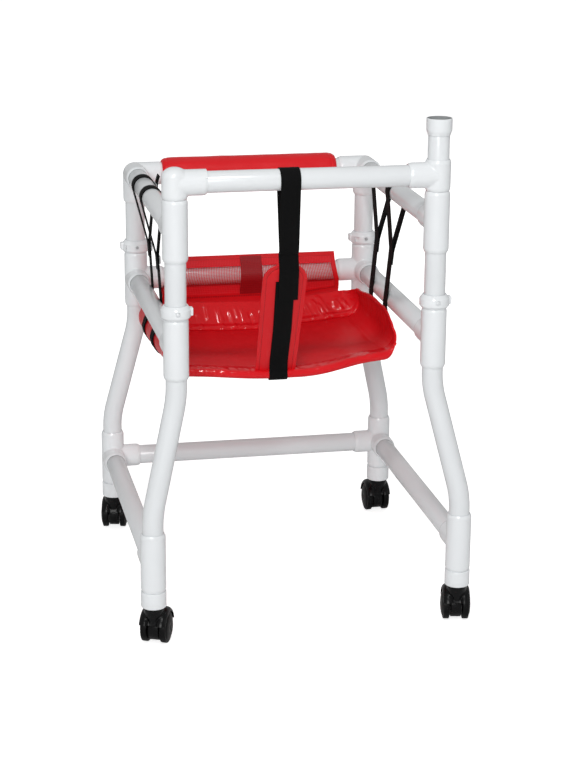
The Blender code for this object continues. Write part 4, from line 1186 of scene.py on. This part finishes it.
def sleeveBands(across, along):  # distance from the edge, as a share of the binding there, and the way along
    x = (2 * across - 1) * sleeve["endTop"]
    ends = (sleeve["endTop"] - abs(x)) / sleeve["endBand"]
    top = along * sleeveLength / sleeve["topBand"]
    low = (1 - along) * sleeveLength / sleeve["lowBand"]
    return min(ends, top, low) * sling["hemWidth"], x if ends > min(top, low) else along * sleeveLength


def sleeveLayer(name, side, material, size):
    piece = bentGrid(name, sleeve["columns"], sleeve["rows"], size,
                     lambda across, along: sleevePoint(across, along, side), sleeveBands)
    factors = hemFactors(piece, sling["hemWidth"], sleeve["meshWall"] / sleeve["binding"])
    clothWall(piece, sleeve["binding"] * sleeve["bindingShare"], factors)
    fit(piece, "lower_frame", "red_mesh", material, "back_mesh")
    return piece


def openMesh(front):
    # The mesh is see-through over the rail. Where the layers lie together its gaps show the same red, so it
    # is closed there. The binding is vinyl
    half, rail = sleeve["openHalf"], layout["lowerRail"]
    markPoints(front, "overRail", [ramp(abs(vertex.co.z - rail), half, half - sleeve["openFade"])
                                   for vertex in front.data.vertices])
    distances = hemDistances(front)
    front.data.materials.append(materials["redVinyl"])
    for face in front.data.polygons:
        if max(distances[index] for index in face.vertices) < sling["hemWidth"] + 0.0002:
            face.material_index = 1


def placeOverlap():  # the doubled stretch where the mesh overlaps, in a darker red that is painted shade
    low = sleeve["overlapTop"]
    high = (sleeve["above"] - sleeve["overlapLow"]) / (sleeve["above"] + sleeve["below"])
    first, last = (0.5 + sleeve[key] / (2 * sleeve["endTop"]) for key in ("overlapFrom", "overlapTo"))
    width = sleeve["overlapTo"] - sleeve["overlapFrom"]

    def shape(across, along):
        across, along = first + (last - first) * across, low + (high - low) * along
        return sleevePoint(across, along, -1, sleeve["overlapLift"])

    piece = bentGrid("sleeveOverlap", 20, 40, (width, sleeve["overlapPattern"]), shape)
    clothWall(piece, sleeve["overlapWall"])
    fit(piece, "lower_frame", "red_mesh", "shadedDoubledMesh", "back_mesh")


sleeveSize = (sleeve["endTop"] + sleeve["endLow"], sleeveLength + sleeve["lower"])
openMesh(sleeveLayer("sleeveFront", -1, "coatedMesh", sleeveSize))
sleeveLayer("sleeveBack", 1, "redVinyl", sleeveSize)
placeOverlap()
print("stage: mesh sleeve")


# The padded sleeve on the rear top rail: foam in vinyl, swollen by cloth simulation, with tapered ends
pad = {"inner": 0.0173, "start": 0.0268, "most": 0.0290, "half": 0.1555, "middle": -0.0045, "taper": 0.0070,
       "endRadius": 0.0215, "voxel": 0.0042, "heldPast": 0.0016, "frames": 20, "cap": 0.0050,
       "seamAt": -1.9, "seamDepth": 0.0011, "seamHalf": 0.0016, "tuck": 0.0008, "tuckAt": 0.0105,
       "tuckHalf": 0.0013, "swell": 0.0005, "gather": 0.0009, "gatherReach": 0.03}
padCloth = {"quality": 5, "mass": 0.3, "tension_stiffness": 25, "compression_stiffness": 25,
            "shear_stiffness": 12, "bending_stiffness": 1.5, "use_pressure": True,
            "uniform_pressure_force": 4.0, "vertex_group_mass": "held"}


def swollen(piece):
    # Cloth under a little pressure, with no gravity; points near the rail are held, none moves past the cap
    group = piece.vertex_groups.new(name="held")
    rail = (layout["halfDepth"] + postsMiddle.y, layout["upperRail"])
    starts = [vertex.co.copy() for vertex in piece.data.vertices]
    for vertex in piece.data.vertices:
        if math.hypot(vertex.co.y - rail[0], vertex.co.z - rail[1]) < pad["inner"] + pad["heldPast"]:
            group.add([vertex.index], 1.0, "REPLACE")
    cloth = piece.modifiers.new("swell", "CLOTH")
    for key, value in padCloth.items():
        setattr(cloth.settings, key, value)
    cloth.settings.effector_weights.gravity = 0
    cloth.collision_settings.use_self_collision = False
    cloth.collision_settings.use_collision = False
    for step in range(1, pad["frames"] + 1):
        bpy.context.scene.frame_set(step)
    applyModifiers(piece)
    bpy.context.scene.frame_set(1)
    for vertex, start in zip(piece.data.vertices, starts):
        move = vertex.co - start
        if move.length > pad["cap"]:
            vertex.co = start + move * (pad["cap"] / move.length)


def padOutline():
    inner, start, tip = pad["inner"], pad["start"], pad["endRadius"]
    half, shoulder = pad["half"], pad["half"] - pad["taper"]
    right = [(inner, half), (tip - 0.0012, half), (tip + 0.001, half - 0.0016), (start - 0.001, shoulder),
             (start, shoulder - 0.005)]
    return right + [(radius, -x) for radius, x in reversed(right)] + [(inner, half)]


def padRadius(radius, around, x):  # kept off the rail and in its space, with a seam, and ends drawn in
    toEnd = pad["half"] - abs(x)
    if radius < pad["inner"] + 0.0022:
        return pad["inner"]
    seam = near(around * radius, pad["seamAt"] * radius, pad["seamHalf"])
    radius -= pad["seamDepth"] * seam * ramp(toEnd, 0, 0.01)
    radius -= pad["tuck"] * near(toEnd, pad["tuckAt"], pad["tuckHalf"])
    radius += pad["swell"] * noiseAt(x * 30, around * 2.2, 1.0)
    radius += pad["gather"] * noiseAt(x * 90, around * 5, 3.0) * near(toEnd, 0, pad["gatherReach"])
    return max(pad["inner"] + 0.0012, min(radius, pad["most"]))


def placePad():
    centre = atPosts(pad["middle"], layout["halfDepth"], layout["upperRail"])
    piece = turnedPiece("backPad", padOutline(), centre, (1, 0, 0), 96)
    modify(piece, "REMESH", mode="VOXEL", voxel_size=pad["voxel"])
    swollen(piece)
    modify(piece, "SUBSURF", levels=2, render_levels=2)
    for vertex in piece.data.vertices:
        off = Vector((0, vertex.co.y - centre.y, vertex.co.z - centre.z))
        x = vertex.co.x - centre.x
        radius = padRadius(off.length, math.atan2(off.z, off.y), x)
        vertex.co = centre + Vector((x, 0, 0)) + off.normalized() * radius
    smoothShade(piece, 80)
    fit(piece, "upper_frame", "red_vinyl", "redVinyl", "back_pad")


placePad()
print("stage: pad")


# The strap lines give the front strap's middle: x at each height
web = {"wall": 0.0015, "gap": 0.0003, "frontWidth": 0.0312, "sideWidth": 0.0250, "railGap": 0.0004,
       "edge": 0.0004, "columns": 8}
webStep = web["wall"] + web["gap"]
frontStrap = {"jointBelow": 0.113, "jointBack": 0.0095, "upperEnd": 0.1690, "lowerTop": 0.2080,
              "rearEnd": 0.140, "x": -0.017, "blend": (0.606, 0.712), "bendHeight": 0.6150,
              "upperLine": [(0.530, -0.0177), (0.620, -0.0262), (0.657, -0.0291), (0.760, -0.0297)],
              "lowerLine": [(0.300, -0.0163), (0.380, -0.0163), (0.474, -0.0195), (0.571, -0.0266)]}
sideStraps = {"side_strap_front": 0.0125, "side_strap_rear": 0.1100, "slant": -0.050, "jointIn": 0.0080,
              "jointBelow": 0.098, "overlap": 0.024, "rise": 0.069, "blend": (0.478, 0.636), "parts": 24}


def ribbon(name, width, lines, steps):
    # lines gives the points of the ribbon's line at a distance across it
    columns = web["columns"]
    grid = [evenSteps(lines((column / columns - 0.5) * width), steps) for column in range(columns + 1)]
    piece = bentGrid(name, columns, steps, (width, lineLength(grid[columns // 2])),
                     lambda across, along: grid[round(across * columns)][round(along * steps)])
    clothWall(piece, web["wall"])
    roundEdges(piece, web["edge"], 2, 60)
    smoothShade(piece, 50)
    return piece


def arcOver(centre, first, last, steps=16):  # over a rail, in the plane of the strap's line, in degrees
    radius = pipe["radius"] + web["railGap"] + web["wall"] / 2
    points = []
    for step in range(steps + 1):
        turn = math.radians(first + (last - first) * step / steps)
        points.append(Vector((centre[0] + radius * math.cos(turn), centre[1] + radius * math.sin(turn))))
    return points


def blendFrames(piece, heights):
    start, end = (atPosts(0, 0, height) for height in heights)
    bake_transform(piece)
    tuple(start)
    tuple(end)


def strapMiddle(line, across, middles):
    return [atPosts(between(middles, height) + across, y, height) for y, height in line]


def onTongue(up, layers):
    lift = tongue["full"] / 2 + web["gap"] + web["wall"] / 2
    place = tonguePlace(0, up, lift + layers * webStep)
    return Vector((place.y, place.z))


def upperStrapLine():  # up the tongue, over the front rail and down again, with a joint below the rail
    rail = (-layout["halfDepth"], layout["frontRail"])
    joint = Vector((rail[0] + frontStrap["jointBack"], rail[1] - frontStrap["jointBelow"]))
    half = Vector((webStep / 2, 0))
    topOfTongue = onTongue(tongueRun.length - 0.012, 0)
    bend = Vector((topOfTongue.x - 0.0045 - webStep, frontStrap["bendHeight"]))
    outer = [onTongue(frontStrap["upperEnd"], 1), onTongue(0.215, 1), onTongue(0.232, 1.1), bend]
    inner = [bend + 2 * half, onTongue(0.232, 0.1), onTongue(0.215, 0),
             onTongue(frontStrap["lowerTop"] + 0.001, 0)]
    return roundedLine(outer, 2) + [joint - half] + arcOver(rail, 196, -16) + [joint + half] + inner


def lowerStrapLine():  # down the tongue, round the lip and back under the seat
    out = web["gap"] + web["wall"] / 2 + sling["thickness"] * sling["thinShare"] / 2 + 0.0006
    middle = seatPoint(frontStrap["x"], sling["front"])
    lip = []
    for turn in range(52, 181, 16):
        angle, radius = math.radians(turn), sling["lipRadius"] + out
        lip.append(Vector((middle.y - radius * math.sin(angle),
                           middle.z - sling["lipRadius"] + radius * math.cos(angle))))
    under = []
    start = sling["front"] + 0.03
    for share in range(1, 9):
        y = start + (frontStrap["rearEnd"] - start) * share / 8
        under.append(Vector((y, seatPoint(frontStrap["x"], y).z - 0.0012 - 2 * webStep)))
    lower = [onTongue(0.12, 0), onTongue(0.06, 0), onTongue(0.026, 0.1),
             Vector((middle.y - sling["lipRadius"] - out - 0.0006, middle.z + 0.004))]
    return [onTongue(frontStrap["lowerTop"], 0)] + roundedLine(lower + lip + under, 2)


def placeFrontStrap():
    upper, lower = upperStrapLine(), lowerStrapLine()
    piece = ribbon("frontStrapUpper", web["frontWidth"],
                   lambda across: strapMiddle(upper, across, frontStrap["upperLine"]), 190)
    dress(piece, "black_webbing", "wovenWebbing", "front_strap")
    blendFrames(piece, frontStrap["blend"])
    piece = ribbon("frontStrapLower", web["frontWidth"] - 0.001,
                   lambda across: strapMiddle(lower, across, frontStrap["lowerLine"]), 170)
    fit(piece, "lower_frame", "black_webbing", "wovenWebbing", "front_strap")


def sideStrapY(node, x):
    return sideStraps[node] + sideStraps["slant"] * x


def sideJoint(side):
    return Vector((side * (layout["halfWidth"] - sideStraps["jointIn"]),
                   layout["upperRail"] - sideStraps["jointBelow"]))


def sideStrapHalf(node, across, side):  # from the middle of the seat up, over the rail and back to the tail
    out = sling["thickness"] * sling["thinShare"] / 2 + web["gap"] + web["wall"] / 2
    top = flapLength(sideStraps["rise"], side)
    flat = flatOf(side)
    points = []
    for part in range(sideStraps["parts"] + 1):
        along = side * max(top * part / sideStraps["parts"], 0.0001)
        y = sideStrapY(node, along) + across
        extra = 0.0012 * ramp(abs(along), flat + 0.026, flat + 0.046)
        place = seatPoint(along, y) + seatNormal(along, y) * (out + extra)
        points.append(Vector((place.x, sideStrapY(node, place.x) + across, place.z)))
    joint, flap = sideJoint(side), points[-1]
    half = Vector((side * webStep / 2, 0))
    rail = (side * layout["halfWidth"], layout["upperRail"])
    share = sideStraps["overlap"] / (joint.y - flap.z)
    tail = Vector((joint.x + (flap.x - joint.x) * share, joint.y - sideStraps["overlap"])) + half
    turns = (196, -16) if side > 0 else (-16, 196)
    line = [joint - half] + arcOver(rail, *turns) + [joint + half, tail]
    return points + [Vector((x, sideStrapY(node, x) + across, height)) for x, height in line]


def sideStrapLine(node, across):  # from the left tail round to the right tail
    left, right = (sideStrapHalf(node, across, side) for side in (-1, 1))
    return [atPosts(*point) for point in left[::-1] + right[1:]]


def placeSideStraps():
    for node in ("side_strap_front", "side_strap_rear"):
        piece = ribbon("webbing_" + node, web["sideWidth"], lambda across: sideStrapLine(node, across), 400)
        dress(piece, "black_webbing", "wovenWebbing", node)
        blendFrames(piece, sideStraps["blend"])


placeFrontStrap()
placeSideStraps()
print("stage: webbing")


# Steel slides on the left straps, and a short tail of webbing at the upper one, given as steps from the slide
slide = {"width": 0.0305, "height": 0.0125, "wall": 0.0021, "slot": 0.0030, "frame": 0.0022, "round": 0.0006,
         "ahead": 0.0030, "below": 0.004, "railGap": 0.0004, "upperBelow": 0.001,
         "tail": [(0.0019, -0.016), (0.0021, 0.004), (0.0034, 0.012), (0.0060, 0.0185)]}


def slideShape():
    piece = block("slideShape", (slide["wall"], slide["width"], slide["height"]))
    for side in (-1, 1):
        place = (0, 0, side * (slide["height"] / 4 - slide["frame"] / 4))
        cutWith(piece, block("slot", (0.01, slide["width"] - 2 * slide["frame"], slide["slot"]), place))
    roundEdges(piece, slide["round"], 3, 40)
    smoothShade(piece, 40)
    return piece


def placeSlides():
    shape, joint = slideShape(), sideJoint(-1)
    for node in ("side_strap_front", "side_strap_rear"):
        place = atPosts(joint.x + slide["ahead"], sideStrapY(node, joint.x), joint.y - slide["below"])
        piece = copyOf(shape, "slide_" + node, place)
        dress(piece, "black_webbing", "zincSteel")
        blendFrames(piece, sideStraps["blend"])
    rail = layout["upperRail"]
    out = pipe["radius"] + web["railGap"] + web["wall"] + slide["wall"] / 2 + slide["railGap"]
    x = out - layout["halfWidth"]
    y = sideStrapY("side_strap_rear", x)
    piece = copyOf(shape, "slide_upper", atPosts(x, y, rail - slide["upperBelow"]))
    fit(piece, "upper_frame", "black_webbing", "zincSteel")
    discard(shape)
    line = roundedLine([Vector((x + out, rail + up)) for out, up in slide["tail"]], 2)
    tail = ribbon("strapTail", web["sideWidth"],
                  lambda across: [atPosts(ahead, y + across, height) for ahead, height in line], 24)
    fit(tail, "upper_frame", "black_webbing", "wovenWebbing")


placeSlides()
print("stage: slides")


# Camera, as in the photograph
view = {"azimuth": -11.7996, "pitch": 16.6623, "roll": 0.424, "distance": 3.3561, "aimX": 0.0200,
        "aimZ": 0.3404, "focalPixels": 1987.387, "imageHeight": 768, "sensor": 36.0}


def placeCamera():
    azimuth, pitch, roll = (math.radians(view[key]) for key in ("azimuth", "pitch", "roll"))
    back = Vector((math.sin(azimuth) * math.cos(pitch), -math.cos(azimuth) * math.cos(pitch),
                   math.sin(pitch)))
    level = Vector((math.cos(azimuth), math.sin(azimuth), 0))
    upright = back.cross(level)
    right = level * math.cos(roll) + upright * math.sin(roll)
    upright = upright * math.cos(roll) - level * math.sin(roll)
    aim = atPosts(view["aimX"] * math.cos(azimuth), view["aimX"] * math.sin(azimuth), view["aimZ"])
    bpy.ops.object.camera_add(location=aim + back * view["distance"])
    camera = bpy.context.active_object
    camera.name = "photoCamera"
    camera.rotation_euler = Matrix((right, upright, back)).transposed().to_euler()
    camera.data.sensor_width = view["sensor"]
    camera.data.lens = view["focalPixels"] / view["imageHeight"] * view["sensor"]
    camera.data.clip_end = 100.0
    bpy.context.scene.camera = camera


placeCamera()


# Studio: white floor and backdrop, soft lamps. Each lamp has its place, size and power
studio = {"world": 0.33, "mirrored": 0.28, "floorSize": 120.0, "floorDrop": 0.0003, "floorGlow": 0.72,
          "middle": (0, 0, 0.4)}
lamps = {"keyLamp": ((-2.2, -6.2, 3.1), 2.3, 195.0), "fillLamp": ((2.6, -1.6, 1.4), 1.8, 4.0),
         "topLamp": ((0.2, 0.6, 3.0), 2.2, 3.5), "flashLamp": ((-0.4, -1.95, 2.9), 0.22, 21.0),
         "backLamp": ((1.6, 3.4, 1.3), 2.2, 17.0)}


def addLamp(name, place, size, power):
    bpy.ops.object.light_add(type="AREA", location=place)
    lamp = bpy.context.active_object
    lamp.name = name
    lamp.rotation_euler = aimed(Vector(place) - Vector(studio["middle"]))
    lamp.data.shape = "SQUARE"
    lamp.data.size = size
    lamp.data.energy = power
    return lamp


def whiteWorld():
    world = bpy.data.worlds.new("studioWhite")
    world.use_nodes = True
    bpy.context.scene.world = world
    tree = world.node_tree
    glossy, camera, passed = (addNode(tree, "LightPath", {}, "Is " + ray + " Ray")
                              for ray in ("Glossy", "Camera", "Transmission"))
    mirrored = addNode(tree, "Math", {"operation": "MULTIPLY", 0: glossy, 1: studio["mirrored"]})
    seen = addNode(tree, "Math", {"operation": "MAXIMUM", 0: camera, 1: mirrored})
    seen = addNode(tree, "Math", {"operation": "MAXIMUM", 0: seen, 1: passed})
    strength = addNode(tree, "Mix", {"data_type": "FLOAT", "A": studio["world"], "B": 1.0,
                                     "Factor": seen}, "Result")
    setNode(tree, tree.nodes["Background"], {"Color": (1, 1, 1, 1), "Strength": strength})


def paleFloor():
    bpy.ops.mesh.primitive_plane_add(size=studio["floorSize"], location=(0, 0, -studio["floorDrop"]))
    floor = newest("studioFloor")
    tree, shader = newMaterial("paleFloor")
    camera = addNode(tree, "LightPath", {}, "Is Camera Ray")
    glow = addNode(tree, "Math", {"operation": "MULTIPLY", 0: camera, 1: studio["floorGlow"]})
    setNode(tree, shader, {"Base Color": linearFromHex("#F4F4F4"), "Roughness": 0.6,
                           "Specular IOR Level": 0.1, "Emission Color": (1, 1, 1, 1),
                           "Emission Strength": glow})
    paint(floor, "paleFloor")


whiteWorld()
paleFloor()
for name, settings in lamps.items():
    lamp = addLamp(name, *settings)
lamp.visible_glossy = False  # the last one lights the back and the sides, and shiny surfaces don't mirror it
bpy.context.scene.view_settings.view_transform = "Standard"
print("stage: camera and studio")
